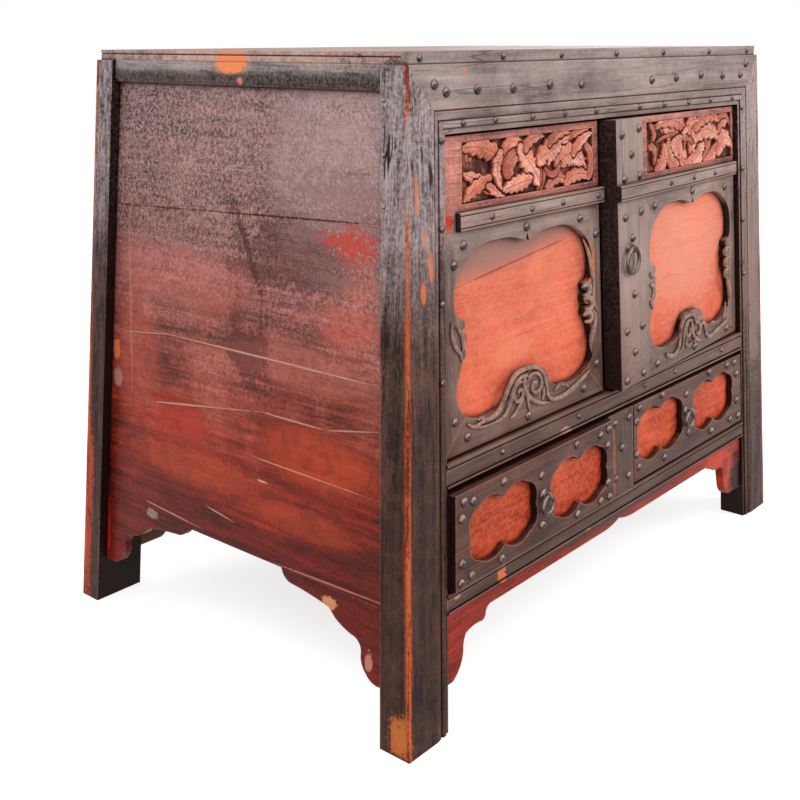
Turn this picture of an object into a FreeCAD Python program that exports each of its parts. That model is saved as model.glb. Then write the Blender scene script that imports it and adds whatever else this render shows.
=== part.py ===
import FreeCAD, Part
import math
import os

# A low wedding cabinet on four splayed posts: two doors over two drawers. The front frame is moulded
# and mitred, the doors carry mitred frames with a cusped opening, and the drawers have cusped windows.
# Lengths are in millimetres. X runs along the front, Y to the back and Z up; the floor is Z = 0.
# Every face of the case leans inwards, so pieces of one face are drawn upright in that face's own
# frame (x along it, d into the cabinet, w up it) and then stood up against the posts.

os.makedirs("parts", exist_ok=True)
V = FreeCAD.Vector

# The case
post_height = 820.0
foot_width = 1025.0
head_width = 926.0
foot_depth = 666.0
head_depth = 581.0

# The posts: how wide each face is at the foot and at the head
post_face_foot = 80.5
post_face_head = 70.5
post_side_foot = 47.0
post_side_head = 41.0
back_post_face_foot = 80.0
back_post_face_head = 75.0
back_post_side_foot = 38.0
back_post_side_head = 36.5

# The moulding that runs up the front posts and mitres into the top rail
post_moulding_width = 25.0
rail_moulding_height = 29.0
moulding_depth = 4.0
# (across the moulding, depth), as shares of its width and of its depth
moulding_shares = [(0.0, 0.0), (0.0, 0.5), (0.06, 0.5), (0.06, 0.1), (0.2, 0.22), (0.36, 0.62), (0.42, 0.8),
                   (0.42, 1.15), (0.47, 1.15), (0.47, 0.55), (0.52, 0.35), (0.7, 0.35), (0.75, 0.55),
                   (0.75, 1.15), (0.8, 1.15), (0.8, 1.0), (1.0, 1.0)]
# the middle of the moulding's broad bead across it and in depth
bead_middle_share = 0.61
bead_crest_share = 0.35

# The rails of the front; the legs and the drawer bay are shares of the front's height, and the doors take
# what height is left
leg_share = 0.1851
drawer_bay_share = 0.1614
bottom_rail_height = 27.5
mid_rail_height = 32.0
top_rail_height = 81.1
mitred_layer = 24.0
rail_back = 38.0
rail_bead = 6.0
rail_quirk = 2.0
divider_half_width = 36.0
divider_rebate = 6.0
divider_front_thickness = 16.0
divider_thickness = 30.0
tenon_length = 15.0
tenon_depth = 12.0
tenon_thickness = 12.0
tenon_shoulder = 7.0

# The apron under the front and the bracket of its ends
apron_depth = 9.0
apron_thickness = 14.0
apron_height = 21.0
apron_cusp = 7.0
apron_crest_half = 44.0
apron_bracket_drop = 73.0
apron_bracket_reach = 137.0
# (out from the bracket's inner end towards the post, down from the apron's edge), shares of the reach
# and of the drop from the apron's edge to the bracket's foot; each pair is the middle and end of an arc, and
# a single point the end of a line
left_bracket_shares = [[(0.3, 0.0)], [(0.355, 0.05), (0.38, 0.17)], [(0.41, 0.22), (0.46, 0.228)],
                       [(0.59, 0.225), (0.69, 0.275)], [(0.725, 0.4), (0.735, 0.56)], [(0.787, 0.8), (0.905, 1.0)]]
right_bracket_shares = [[(0.13, 0.06), (0.225, 0.165)], [(0.3, 0.2), (0.38, 0.2)], [(0.47, 0.235), (0.505, 0.33)],
                        [(0.515, 0.5), (0.535, 0.66)], [(0.575, 0.87), (0.67, 1.0)]]
side_bracket_shares = [[(0.04, 0.115), (0.11, 0.16)], [(0.28, 0.195), (0.47, 0.257)], [(0.5, 0.31), (0.54, 0.373)],
                       [(0.61, 0.437), (0.69, 0.485)], [(0.755, 0.545), (0.775, 0.66)],
                       [(0.785, 0.8), (0.825, 0.905)], [(0.865, 0.97), (0.94, 1.0)]]

# The sides
side_rail_height = 30.5
side_rail_depth = 5.0
side_rail_thickness = 26.0
side_rail_edge = 6.0
plank_depth = 15.0
plank_thickness = 12.0
plank_rise = 17.0
housing = 8.0
side_bracket_drop = 102.0
side_bracket_reach = 186.0
# the two plank joints at the back end and at the front end of the side, shares of the planks' height
plank_joint_shares = [(0.722, 0.748), (0.427, 0.447)]

# The back
back_rail_height = 41.0
back_rail_depth = 5.0
back_rail_thickness = 26.0
back_panel_depth = 12.0
back_panel_thickness = 10.0
back_apron_thickness = 14.0

# The top
top_board_thickness = 14.0
top_inset_side = 5.5
top_inset_front = 3.0
edging_thickness = 12.0
edging_rise = 0.8
top_groove = 1.6
top_groove_share = 0.55

# Boards inside
floor_thickness = 12.0
floor_drop = 4.0
runner_board_thickness = 10.0
guide_height = 24.0
guide_thickness = 12.0
drawer_rest_gap = 0.4
drawer_side_gap = 2.0

# The doors
door_depth = 10.0
door_gap = 3.0
hinge_gap = 4.0
frame_thickness = 11.0
board_thickness = 6.0
batten_thickness = 12.0
batten_width = 36.0
batten_setback = 10.0
lug_height = 20.0
pivot_setback = 28.0
pivot_depth = 25.0
pivot_radius = 3.5
pivot_length = 9.0
pivot_clearance = 0.05
pivot_end_gap = 1.0
astragal_height = 22.5
astragal_proud = 8.0
astragal_overhang = 3.0
astragal_setback = 6.5
left_astragal_setback = 23.0
astragal_quirk = 1.5
astragal_bead = 4.5
left_meeting_head = 47.0
left_meeting_foot = 40.5
stile_edge_head = 41.0
stile_edge_foot = 32.0
stile_width = 84.0
stile_thickness = 28.0
ajar_degrees = 3.6

# The cusped opening of the door frames
# how far the opening stays from the frame's head and foot, shares of the frame's height
opening_head_margin_share = 0.0726
opening_foot_margin_share = 0.1397
opening_hinge_margin = 21.5
left_meeting_margin = 22.5
right_meeting_margin = 16.0
notch_half_width = 4.0
notch_height = 10.0
# the upper edge from the middle outwards: (across, up) as shares of the opening's half sizes
opening_top_shares = [[(0.22, 0.985), (0.43, 1.0)], [(0.66, 0.965), (0.845, 0.835)], [(0.965, 0.64), (1.0, 0.37)],
                      [(0.995, 0.29), (0.955, 0.2)]]
# the three leaf knobs half way down, then the lower lobe, the ogee and the ornament on the sill
opening_knob_shares = [[(0.92, 0.185)], [(0.87, 0.13), (0.91, 0.065)], [(0.935, 0.046)], [(0.905, 0.032)],
                       [(0.862, -0.037), (0.905, -0.106)], [(0.935, -0.12)], [(0.91, -0.135)],
                       [(0.87, -0.21), (0.91, -0.285)], [(0.92, -0.31)]]
opening_low_shares = [[(0.965, -0.44), (1.0, -0.61)], [(0.975, -0.84), (0.87, -0.97)],
                      [(0.73, -1.035), (0.5, -1.03)], [(0.36, -1.0), (0.27, -0.88)],
                      [(0.2, -0.74), (0.09, -0.7)], [(0.045, -0.71), (0.0, -0.68)]]
opening_cusp_share = 0.91

# The carved plaque above the doors' astragals, as a share of the door's height
plaque_share = 0.236
plaque_border = 9.0
left_plaque_side_border = 36.0
right_plaque_side_border = 9.0
plaque_meeting_border = 14.0
plaque_sink = 5.0
relief_height = 4.6
# leaves of the carving: (along, up, length, width, turn), shares of the field's length and height, degrees
relief_leaf_shares = [(0.06, 0.3, 0.13, 0.42, 20), (0.1, 0.72, 0.15, 0.36, -25), (0.21, 0.5, 0.14, 0.44, 65),
                      (0.3, 0.25, 0.15, 0.36, 0), (0.33, 0.7, 0.15, 0.38, 35), (0.43, 0.42, 0.14, 0.42, -50),
                      (0.5, 0.75, 0.13, 0.32, 10), (0.57, 0.3, 0.15, 0.38, 25), (0.66, 0.62, 0.15, 0.42, -30),
                      (0.73, 0.25, 0.13, 0.34, 5), (0.8, 0.6, 0.15, 0.42, 55), (0.87, 0.28, 0.13, 0.38, -15),
                      (0.94, 0.68, 0.11, 0.4, 60)]

# The drawers
drawer_foot_gap = 4.0
drawer_head_gap = 7.0
drawer_gap = 3.0
drawer_hang = 1.0
drawer_frame_thickness = 10.0
drawer_front_thickness = 12.0
drawer_length = 455.0
drawer_side_thickness = 10.0
drawer_side_height = 92.0
drawer_bottom_thickness = 6.0
drawer_bottom_rise = 6.0
# the windows' half sizes, and their centres across from the meeting end and up, as shares of the drawer's
# width and height
window_half_width_share = 0.199
window_half_height_share = 0.362
left_window_shares = [(0.245, 0.466), (0.727, 0.487)]
right_window_shares = [(0.224, 0.527), (0.714, 0.522)]
# a quarter of a window from its top cusp to its side cusp, shares of its half sizes
window_shares = [[(0.38, 0.96), (0.74, 0.78)], [(0.98, 0.42), (0.94, 0.0)]]
window_cusp_share = 0.71
left_pull = 10.0

# Nail heads, staples and rings
stud_radius = 6.5
stud_height = 4.4
small_stud_radius = 4.6
small_stud_height = 3.2
tack_radius = 2.8
tack_height = 1.6
stud_sides = 10
stud_shoulder_share = 0.78
stud_crown_share = 0.36
stud_shoulder_rise_share = 0.62
door_ring_radius = 18.0
drawer_ring_radius = 12.0
ring_wire = 2.8
staple_wire = 1.5
staple_eye = 5.0
staple_reach = 7.0
plate_radius = 8.5
plate_thickness = 1.2
ring_play = 0.3
door_ring_along_share = 0.38
door_ring_up_share = 0.527
# across from the meeting end and up, shares of the drawer's width and height
left_drawer_ring_shares = (0.488, 0.528)
right_drawer_ring_shares = (0.451, 0.571)

# Places of the nail heads
# along the front as shares of half the head's width, on the flat of the top rail, with the height as a
# share of the rail's flat
top_rail_stud_shares = [(-0.903, 0.56), (-0.857, 0.38), (-0.727, 0.4), (-0.566, 0.38), (-0.388, 0.42), (-0.22, 0.38),
                        (0.2, 0.38), (0.365, 0.4), (0.544, 0.44), (0.71, 0.38), (0.855, 0.38), (0.9, 0.72)]
bead_stud_shares = [-0.787, -0.645, -0.471, -0.308, -0.135, 0.128, 0.289, 0.461, 0.624, 0.797]
edging_stud_shares = [-0.949, -0.6, -0.316, -0.009, 0.29, 0.618, 0.924]
mid_rail_stud_shares = [-0.65, -0.25, 0.16, 0.37, 0.73]
divider_stud_shares = [(-0.5, 0.88), (0.66, 0.88), (0.07, 0.55), (-0.46, 0.21), (0.56, 0.17)]
post_stud_shares = [0.893, 0.768, 0.66, 0.545]
side_tack_shares = [0.951, 0.876, 0.805]
left_frame_stud_shares = [(0.945, 0.855), (0.893, 0.934), (0.512, 0.955), (0.144, 0.939), (0.03, 0.841),
                          (0.043, 0.16), (0.143, 0.056), (0.517, 0.038), (0.877, 0.062), (0.945, 0.155)]
right_frame_stud_shares = [(0.103, 0.93), (0.499, 0.96), (0.879, 0.934), (0.878, 0.048), (0.499, 0.04),
                           (0.104, 0.049)]
left_astragal_stud_shares = [0.753, 0.505, 0.297, 0.04]
right_astragal_stud_shares = [0.228, 0.473, 0.715]
stile_stud_shares = [(0.85, 0.96), (0.2, 0.943), (0.56, 0.869), (0.26, 0.784), (0.86, 0.786), (0.27, 0.642),
                     (0.88, 0.65), (0.53, 0.56), (0.56, 0.346), (0.24, 0.215), (0.85, 0.213), (0.54, 0.124),
                     (0.2, 0.028), (0.86, 0.028)]
left_drawer_stud_shares = [(0.045, 0.905), (0.096, 0.87), (0.27, 0.91), (0.5, 0.765), (0.735, 0.915), (0.905, 0.885),
                           (0.965, 0.91), (0.035, 0.74), (0.955, 0.72), (0.955, 0.26), (0.035, 0.27), (0.03, 0.07),
                           (0.085, 0.09), (0.255, 0.08), (0.5, 0.2), (0.735, 0.085), (0.9, 0.08), (0.965, 0.07)]
right_drawer_stud_shares = [(0.045, 0.93), (0.24, 0.955), (0.455, 0.805), (0.675, 0.955), (0.86, 0.93),
                            (0.935, 0.92), (0.02, 0.775), (0.955, 0.735), (0.02, 0.34), (0.955, 0.34),
                            (0.035, 0.165), (0.255, 0.1), (0.47, 0.26), (0.69, 0.1), (0.885, 0.105), (0.97, 0.1)]

# The cutters' overrun, and how near two points count as one
overrun = 12.0
same_point = 1e-6

front_lean = math.degrees(math.atan2(foot_depth - head_depth, post_height + post_height))
side_lean = math.degrees(math.atan2(foot_width - head_width, post_height + post_height))
front_slant = post_height / math.cos(math.radians(front_lean))
side_slant = post_height / math.cos(math.radians(side_lean))
bottom_rail_foot = front_slant * leg_share
bottom_rail_head = bottom_rail_foot + bottom_rail_height
mid_rail_foot = bottom_rail_head + front_slant * drawer_bay_share
mid_rail_head = mid_rail_foot + mid_rail_height
top_rail_foot = front_slant - top_rail_height
divider_head = mid_rail_foot - divider_rebate
apron_foot = bottom_rail_foot - apron_height
apron_bracket_foot = apron_foot - apron_bracket_drop
plank_foot = bottom_rail_foot + plank_rise
side_bracket_foot = plank_foot - side_bracket_drop
side_rail_foot = side_slant - side_rail_height
back_rail_foot = front_slant - back_rail_height
door_foot, door_head = mid_rail_head + door_gap, top_rail_foot - door_gap
astragal_head = door_head - (door_head - door_foot) * plaque_share
frame_head = astragal_head - astragal_height
opening_foot = door_foot + (frame_head - door_foot) * opening_foot_margin_share
opening_head = frame_head - (frame_head - door_foot) * opening_head_margin_share
drawer_foot, drawer_head = bottom_rail_head + drawer_foot_gap, mid_rail_foot - drawer_head_gap
half_foot_width, half_head_width = foot_width / 2, head_width / 2
half_foot_depth, half_head_depth = foot_depth / 2, head_depth / 2
faces = {"front": (0, half_foot_depth, front_lean), "left": (-90, half_foot_width, side_lean),
         "back": (180, half_foot_depth, front_lean), "right": (90, half_foot_width, side_lean)}


def save(name, shape):
    """Writes one node's file and says how many solids it holds."""
    solids = shape.Solids
    shape = solids[0] if len(solids) == 1 else Part.makeCompound(solids)
    print(name, len(solids), "solids", round(shape.Volume), "mm3", "valid" if shape.isValid() else "NOT VALID")
    shape.exportStep("parts/" + name + ".step")


def join(shapes):
    """One solid of several that touch or overlap."""
    first, rest = shapes[0], shapes[1:]
    return first.multiFuse(rest).removeSplitter() if rest else first


def straight(points):
    """A closed wire of straight lines through 3-D points."""
    return Part.makePolygon(points + [points[0]])


def outline(start, runs):
    """A closed wire in the upright face from a start and runs to points; a run of two points is an arc."""
    edges, at = [], start
    for run in runs + [[start]]:
        ends = [V(x, 0, w) for x, w in [at] + run]
        if (ends[-1] - ends[0]).Length > same_point:
            edges.append(Part.makeLine(*ends) if len(ends) == 2 else Part.Arc(*ends).toShape())
        at = run[-1]
    return Part.Wire(edges)


def plate(points, near, far):
    """A flat piece of a face: its outline in (x, w), from one depth to another."""
    wire = points if isinstance(points, Part.Wire) else straight([V(x, 0, w) for x, w in points])
    solid = Part.Face(wire).extrude(V(0, far - near, 0))
    solid.translate(V(0, near, 0))
    return solid


def bar(profile, start, end):
    """A straight member along x: its profile in (d, w)."""
    return Part.Face(straight([V(start, d, w) for d, w in profile])).extrude(V(end - start, 0, 0))


def block(x0, x1, d0, d1, w0, w1):
    """An upright box between two values on each axis."""
    return Part.makeBox(x1 - x0, d1 - d0, w1 - w0, V(x0, d0, w0))


def rod(start, end, radius):
    """A round pin from one point to another."""
    run = end - start
    return Part.makeCylinder(radius, run.Length, start, run)


def taper(foot, head, height):
    """A block from a rectangle on the floor to one at a height, each (x0, x1, y0, y1)."""
    rings = [straight([V(r[0], r[2], z), V(r[1], r[2], z), V(r[1], r[3], z), V(r[0], r[3], z)])
             for r, z in ((foot, 0), (head, height))]
    return Part.makeLoft(rings, True, True)


def stand(shape, face):
    """Moves a piece from the upright frame of a face to its place on the leaning case."""
    turn, half_span, lean = faces[face]
    placed = shape.copy()
    placed.rotate(V(0, 0, 0), V(1, 0, 0), -lean)
    placed.translate(V(0, -half_span, 0))
    placed.rotate(V(0, 0, 0), V(0, 0, 1), turn)
    return placed


def mirrored(shape):
    """The same piece on the other side of the cabinet's middle."""
    return shape.mirror(V(0, 0, 0), V(1, 0, 0))


def inner_edge(w):
    """Half the clear width between the front posts, w up the front."""
    at_foot, at_head = half_foot_width - post_face_foot, half_head_width - post_face_head
    return at_foot + (at_head - at_foot) * w / front_slant


def back_inner_edge(w):
    """Half the clear width between the back posts, w up the back."""
    at_foot, at_head = half_foot_width - back_post_face_foot, half_head_width - back_post_face_head
    return at_foot + (at_head - at_foot) * w / front_slant


def side_front_edge(w):
    """Where the front post's side face ends, w up the side."""
    at_foot, at_head = half_foot_depth - post_side_foot, half_head_depth - post_side_head
    return at_foot + (at_head - at_foot) * w / side_slant


def side_back_edge(w):
    """Where the back post's side face ends, w up the side."""
    at_foot, at_head = half_foot_depth - back_post_side_foot, half_head_depth - back_post_side_head
    return at_foot + (at_head - at_foot) * w / side_slant


def stud(x, w, depth, radius, height):
    """A forged nail head with a flat back, faceted as the hammer leaves it."""
    rings = []
    for share, rise in ((1, 0), (stud_shoulder_share, stud_shoulder_rise_share), (stud_crown_share, 1)):
        rings.append(straight([V(x + radius * share * math.cos(2 * math.pi * i / stud_sides), depth - height * rise,
                                 w + radius * share * math.sin(2 * math.pi * i / stud_sides))
                               for i in range(stud_sides)]))
    return Part.makeLoft(rings, True, True)


def studs_at(places, depth, radius=stud_radius, height=stud_height):
    """A list of nail heads on one plane."""
    return [stud(x, w, depth, radius, height) for x, w in places]


def case_envelope():
    """The whole case between the outer faces of the posts, floor to post heads."""
    return taper((-half_foot_width, half_foot_width, -half_foot_depth, half_foot_depth),
                 (-half_head_width, half_head_width, -half_head_depth, half_head_depth), post_height)


def front_space():
    """The room between the inner faces of the front posts."""
    foot, head = half_foot_width - post_face_foot, half_head_width - post_face_head
    return taper((-foot, foot, -foot_depth, foot_depth), (-head, head, -foot_depth, foot_depth), post_height)


def back_space():
    """The room between the inner faces of the back posts."""
    foot, head = half_foot_width - back_post_face_foot, half_head_width - back_post_face_head
    return taper((-foot, foot, -foot_depth, foot_depth), (-head, head, -foot_depth, foot_depth), post_height)


def side_space():
    """The room between the front and the back posts."""
    return taper((-foot_width, foot_width, post_side_foot - half_foot_depth, half_foot_depth - back_post_side_foot),
                 (-foot_width, foot_width, post_side_head - half_head_depth, half_head_depth - back_post_side_head),
                 post_height)


def mitre_outline():
    """The front layer of the top rail: a trapezoid whose ends run to the outer top corners."""
    foot = inner_edge(top_rail_foot)
    rise = (front_slant - top_rail_foot)
    over = overrun / rise
    outer = half_head_width + (half_head_width - foot) * over
    head = front_slant + overrun
    return [(-foot, top_rail_foot), (foot, top_rail_foot), (outer, head), (-outer, head)]


def front_post():
    """The left front post, whole, before its joints are cut."""
    inner = half_foot_width - post_face_foot
    across = [(-inner - post_moulding_width * (1 - u), moulding_depth * v - half_foot_depth)
              for u, v in moulding_shares]
    outer, back = -half_foot_width - overrun, -half_foot_depth + post_side_foot + overrun
    profile = [V(x, y, 0) for x, y in across] + [V(-inner, back, 0), V(outer, back, 0), V(outer, -half_foot_depth, 0)]
    shift = V(inner - (half_head_width - post_face_head), half_foot_depth - half_head_depth, post_height)
    drawn = Part.Face(straight(profile)).extrude(shift)
    limits = taper((-half_foot_width, overrun - inner, -half_foot_depth - overrun, -half_foot_depth + post_side_foot),
                   (-half_head_width, overrun + post_face_head - half_head_width, -half_head_depth - overrun,
                    -half_head_depth + post_side_head), post_height)
    return drawn.common(limits)


def back_post():
    """The left back post."""
    return taper((-half_foot_width, back_post_face_foot - half_foot_width, half_foot_depth - back_post_side_foot,
                  half_foot_depth),
                 (-half_head_width, back_post_face_head - half_head_width, half_head_depth - back_post_side_head,
                  half_head_depth), post_height)


def tenon_bar(edge, foot, head):
    """One long tongue that stands out of both ends of a rail."""
    reach = edge((foot + head) / 2) + tenon_length
    return block(-reach, reach, tenon_depth, tenon_depth + tenon_thickness, foot + tenon_shoulder, head - tenon_shoulder)


def front_top_rail(envelope):
    """The wide moulded rail over the doors, mitred into the posts, with its thicker back between them."""
    crest = front_slant + overrun + overrun
    flat = top_rail_foot + rail_moulding_height
    profile = [(moulding_depth * v, flat - rail_moulding_height * u) for u, v in moulding_shares]
    profile += [(mitred_layer, top_rail_foot), (mitred_layer, crest), (0, crest)]
    front = bar(profile, -half_foot_width, half_foot_width).common(plate(mitre_outline(), -overrun, mitred_layer))
    back = stand(block(-half_foot_width, half_foot_width, mitred_layer, rail_back, top_rail_foot, crest), "front")
    return join([stand(front, "front"), back.common(front_space())]).common(envelope)


def beaded_rail(foot, head, tenon):
    """A front rail with a bead along its top and bottom edges, set back to the posts' moulding."""
    face, quirk = moulding_depth, moulding_depth + rail_quirk
    nose = moulding_depth - rail_quirk
    profile = [(rail_back, foot), (face, foot), (nose, foot + rail_quirk), (nose, foot + rail_bead - rail_quirk),
               (quirk, foot + rail_bead - rail_quirk), (quirk, foot + rail_bead), (face, foot + rail_bead),
               (face, head - rail_bead - rail_quirk), (quirk, head - rail_bead - rail_quirk),
               (quirk, head - rail_bead), (face, head - rail_bead), (nose, head - rail_bead + rail_quirk),
               (nose, head - rail_quirk), (face, head), (rail_back, head)]
    shaped = stand(bar(profile, -half_foot_width, half_foot_width), "front").common(front_space())
    return join([shaped, stand(tenon, "front")])


def divider():
    """The board between the drawers, with a thicker back that meets the mid rail."""
    front = block(-divider_half_width, divider_half_width, moulding_depth, moulding_depth + divider_front_thickness,
                  bottom_rail_head, divider_head)
    back = block(-divider_half_width, divider_half_width, moulding_depth + divider_front_thickness,
                 moulding_depth + divider_thickness, bottom_rail_head, mid_rail_foot)
    return join([front, back])


def bracket_runs(shares, root, tip_foot, edge_height, reach):
    """Arcs of a bracket's lower edge, from the apron's edge out to the post."""
    drop = edge_height - tip_foot
    return [[(root + reach * a, edge_height - drop * b) for a, b in run] for run in shares]


def apron_half(depth, thickness, shares):
    """The right half of an apron, from the middle cusp to the post, with its bracket's shares."""
    root = inner_edge(apron_foot) - apron_bracket_reach
    crest = apron_foot + apron_cusp
    runs = [[(apron_crest_half / 2, apron_foot + apron_cusp / 4), (apron_crest_half, apron_foot)],
            [(root, apron_foot)]]
    runs += bracket_runs(shares, root, apron_bracket_foot, apron_foot, apron_bracket_reach)
    runs += [[(half_foot_width, apron_bracket_foot)], [(half_foot_width, bottom_rail_foot)], [(0, bottom_rail_foot)]]
    return plate(outline((0, crest), runs), depth, depth + thickness)


def apron():
    """The front apron, one board with a cusp in its middle and a cusped bracket at each end."""
    right = apron_half(apron_depth, apron_thickness, right_bracket_shares)
    left = mirrored(apron_half(apron_depth, apron_thickness, left_bracket_shares))
    return stand(join([right, left]), "front").common(front_space())


def back_apron():
    """The same apron under the back panel."""
    half = apron_half(back_panel_depth, back_apron_thickness, right_bracket_shares)
    strip = block(-half_foot_width, half_foot_width, back_panel_depth, back_panel_depth + back_apron_thickness,
                  bottom_rail_foot, plank_foot)
    return stand(join([half, mirrored(half), strip]), "back").common(back_space())


def side_edges(w, past):
    """(rear, front) ends of a side board in the left face's frame, each past the post's edge by a length."""
    return -side_back_edge(w) - past, side_front_edge(w) + past


def side_planks():
    """Three planks with tapering joints, housed in the posts, from the top down."""
    lines = [(side_rail_foot, side_rail_foot)]
    rise = side_rail_foot - plank_foot
    lines += [(plank_foot + rise * rear, plank_foot + rise * front) for rear, front in plank_joint_shares]
    lines += [(plank_foot, plank_foot)]
    planks = []
    for (rear_head, front_head), (rear_foot, front_foot) in zip(lines, lines[1:]):
        points = [(side_edges(rear_foot, housing)[0], rear_foot), (side_edges(front_foot, housing)[1], front_foot),
                  (side_edges(front_head, housing)[1], front_head), (side_edges(rear_head, housing)[0], rear_head)]
        planks.append(plate(points, plank_depth, plank_depth + plank_thickness))
    return planks


def side_bracket(edge, past):
    """A cusped bracket under the planks, drawn towards +x against a post edge."""
    root = edge(plank_foot) - side_bracket_reach
    runs = bracket_runs(side_bracket_shares, root, side_bracket_foot, plank_foot, side_bracket_reach)
    runs += [[(edge(side_bracket_foot) + past, side_bracket_foot)], [(edge(plank_foot) + past, plank_foot)]]
    return plate(outline((root, plank_foot), runs), plank_depth, plank_depth + plank_thickness)


def side_slot():
    """The space that the housed boards take up in both posts of a side."""
    low, high = side_edges(side_bracket_foot, housing), side_edges(side_rail_foot, housing)
    return plate([(low[0], side_bracket_foot), (low[1], side_bracket_foot), (high[1], side_rail_foot),
                  (high[0], side_rail_foot)], plank_depth, plank_depth + plank_thickness)


def side_rail(envelope):
    """The rail at the head of a side, its lower outer edge rounded over."""
    head = side_slant + overrun
    far = side_rail_depth + side_rail_thickness
    profile = [(far, side_rail_foot), (side_rail_depth + side_rail_edge, side_rail_foot),
               (side_rail_depth + side_rail_edge / 4, side_rail_foot + side_rail_edge / 4),
               (side_rail_depth, side_rail_foot + side_rail_edge), (side_rail_depth, head), (far, head)]
    shape = stand(bar(profile, -half_foot_depth, half_foot_depth), "left").common(side_space())
    return join([shape, stand(side_tenon(), "left")]).common(envelope)


def side_tenon():
    """The tongue through a side rail into both posts."""
    rear, front = side_edges(side_rail_foot, tenon_length)
    return block(rear, front, tenon_depth, tenon_depth + tenon_thickness, side_rail_foot + tenon_shoulder,
                 side_slant - tenon_shoulder)


def back_tenon():
    """The tongue of the back rail."""
    reach = back_inner_edge(back_rail_foot) + tenon_length
    return block(-reach, reach, tenon_depth, tenon_depth + tenon_thickness, back_rail_foot + tenon_shoulder,
                 front_slant - tenon_shoulder)


def back_top_rail(envelope):
    """The rail at the head of the back."""
    rail = block(-half_foot_width, half_foot_width, back_rail_depth, back_rail_depth + back_rail_thickness,
                 back_rail_foot, front_slant + overrun)
    return join([stand(rail, "back").common(back_space()), stand(back_tenon(), "back")]).common(envelope)


def back_panel():
    """The plain panel between the back posts."""
    panel = block(-half_foot_width, half_foot_width, back_panel_depth, back_panel_depth + back_panel_thickness,
                  plank_foot, back_rail_foot)
    return stand(panel, "back").common(back_space())


def top_board():
    """The top, lying on the post heads, with a groove along each end and its front behind the edging."""
    half_x, half_y = half_head_width - top_inset_side, half_head_depth - top_inset_front
    board = Part.makeBox(half_x + half_x, half_y + half_y - edging_thickness, top_board_thickness,
                         V(-half_x, edging_thickness - half_y, post_height))
    line = post_height + top_board_thickness * top_groove_share
    for side in (-1, 1):
        cut = Part.makeBox(top_groove + top_groove, half_y + half_y + overrun, top_groove,
                           V(side * half_x - top_groove, -half_y - top_groove, line))
        board = board.cut(cut)
    return board


def front_edging():
    """The studded strip along the front of the top, a little higher than the board."""
    half_x, half_y = half_head_width - top_inset_side, half_head_depth - top_inset_front
    return Part.makeBox(half_x + half_x, edging_thickness, top_board_thickness + edging_rise,
                        V(-half_x, -half_y, post_height))


def level_board(top, thickness, stops):
    """A level board that fills the case at one height, cut to fit what it meets."""
    share = 1 - top / post_height
    half_x = half_head_width + (half_foot_width - half_head_width) * share
    half_y = half_head_depth + (half_foot_depth - half_head_depth) * share
    board = Part.makeBox(half_x + half_x, half_y + half_y, thickness, V(-half_x, -half_y, top - thickness))
    board = board.common(stand(block(-foot_width, foot_width, rail_back, foot_depth, -foot_depth, foot_depth),
                               "front"))
    for stop in stops:
        board = max(board.cut(stop).Solids, key=lambda s: s.Volume)
    return board


def opening_wire(near, margin):
    """The cusped opening of a door frame, between its margins at the meeting edge and at the hinge."""
    middle, half_height = (opening_foot + opening_head) / 2, (opening_head - opening_foot) / 2
    start, end = near(middle) + margin, outer(middle) - opening_hinge_margin
    centre, half_width = (start + end) / 2, (end - start) / 2

    def at(a, b, side):
        return centre + side * a * half_width, middle + b * half_height
    half = opening_top_shares + opening_knob_shares + opening_low_shares
    right = [[at(a, b, 1) for a, b in run] for run in half]
    back, ends = [], [(0.0, opening_cusp_share)] + [run[-1] for run in half]
    for run, before in zip(reversed(half), reversed(ends[:-1])):
        back.append([at(a, b, -1) for a, b in run[:-1] + [before]])
    cusp = middle + opening_cusp_share * half_height
    start = (centre + notch_half_width, cusp)
    back[-1][-1] = (centre - notch_half_width, cusp)
    return outline(start, right + back + [[(centre, cusp + notch_height)]])


def meeting(w, at_foot, at_head):
    """Where a door's meeting edge is, w up the front."""
    return at_foot + (at_head - at_foot) * (w - door_foot) / (door_head - door_foot)


def outer(w):
    """Where a door's hinge edge is, w up the front."""
    return inner_edge(w) - hinge_gap


def hinge_axis():
    """Foot and head of a door's pivot line, in the upright front frame of the right door."""
    return (V(outer(door_foot) - pivot_setback, pivot_depth, door_foot),
            V(outer(door_head) - pivot_setback, pivot_depth, door_head))


def pivots(radius, length):
    """The two pins of a door, or their sockets."""
    foot, head = hinge_axis()
    up = (head - foot).normalize()
    return [rod(foot + up * lug_height / 2, foot - up * length, radius),
            rod(head - up * lug_height / 2, head + up * length, radius)]


def frame_pieces(near, margin):
    """The four mitred pieces of a door's cusped frame: head, sill, jamb by the hinge, jamb by the meeting edge."""
    far = door_depth + frame_thickness
    whole = [(near(door_foot), door_foot), (outer(door_foot), door_foot), (outer(frame_head), frame_head),
             (near(frame_head), frame_head)]
    pierced = plate(whole, door_depth, far).cut(plate(opening_wire(near, margin), door_depth - overrun, far + overrun))
    reach = (frame_head - door_foot) / 3
    corners = [whole[0], whole[1], whole[2], whole[3]]
    turns = [(1, 1), (-1, 1), (-1, -1), (1, -1)]
    inner = [(x + reach * a, w + reach * b) for (x, w), (a, b) in zip(corners, turns)]
    zones = {"sill": [corners[0], corners[1], inner[1], inner[0]],
             "jamb_hinge": [corners[1], corners[2], inner[2], inner[1]],
             "head": [corners[2], corners[3], inner[3], inner[2]],
             "jamb_meeting": [corners[3], corners[0], inner[0], inner[3]]}
    return {name: pierced.common(plate(zone, door_depth - overrun, far + overrun)) for name, zone in zones.items()}


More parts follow.
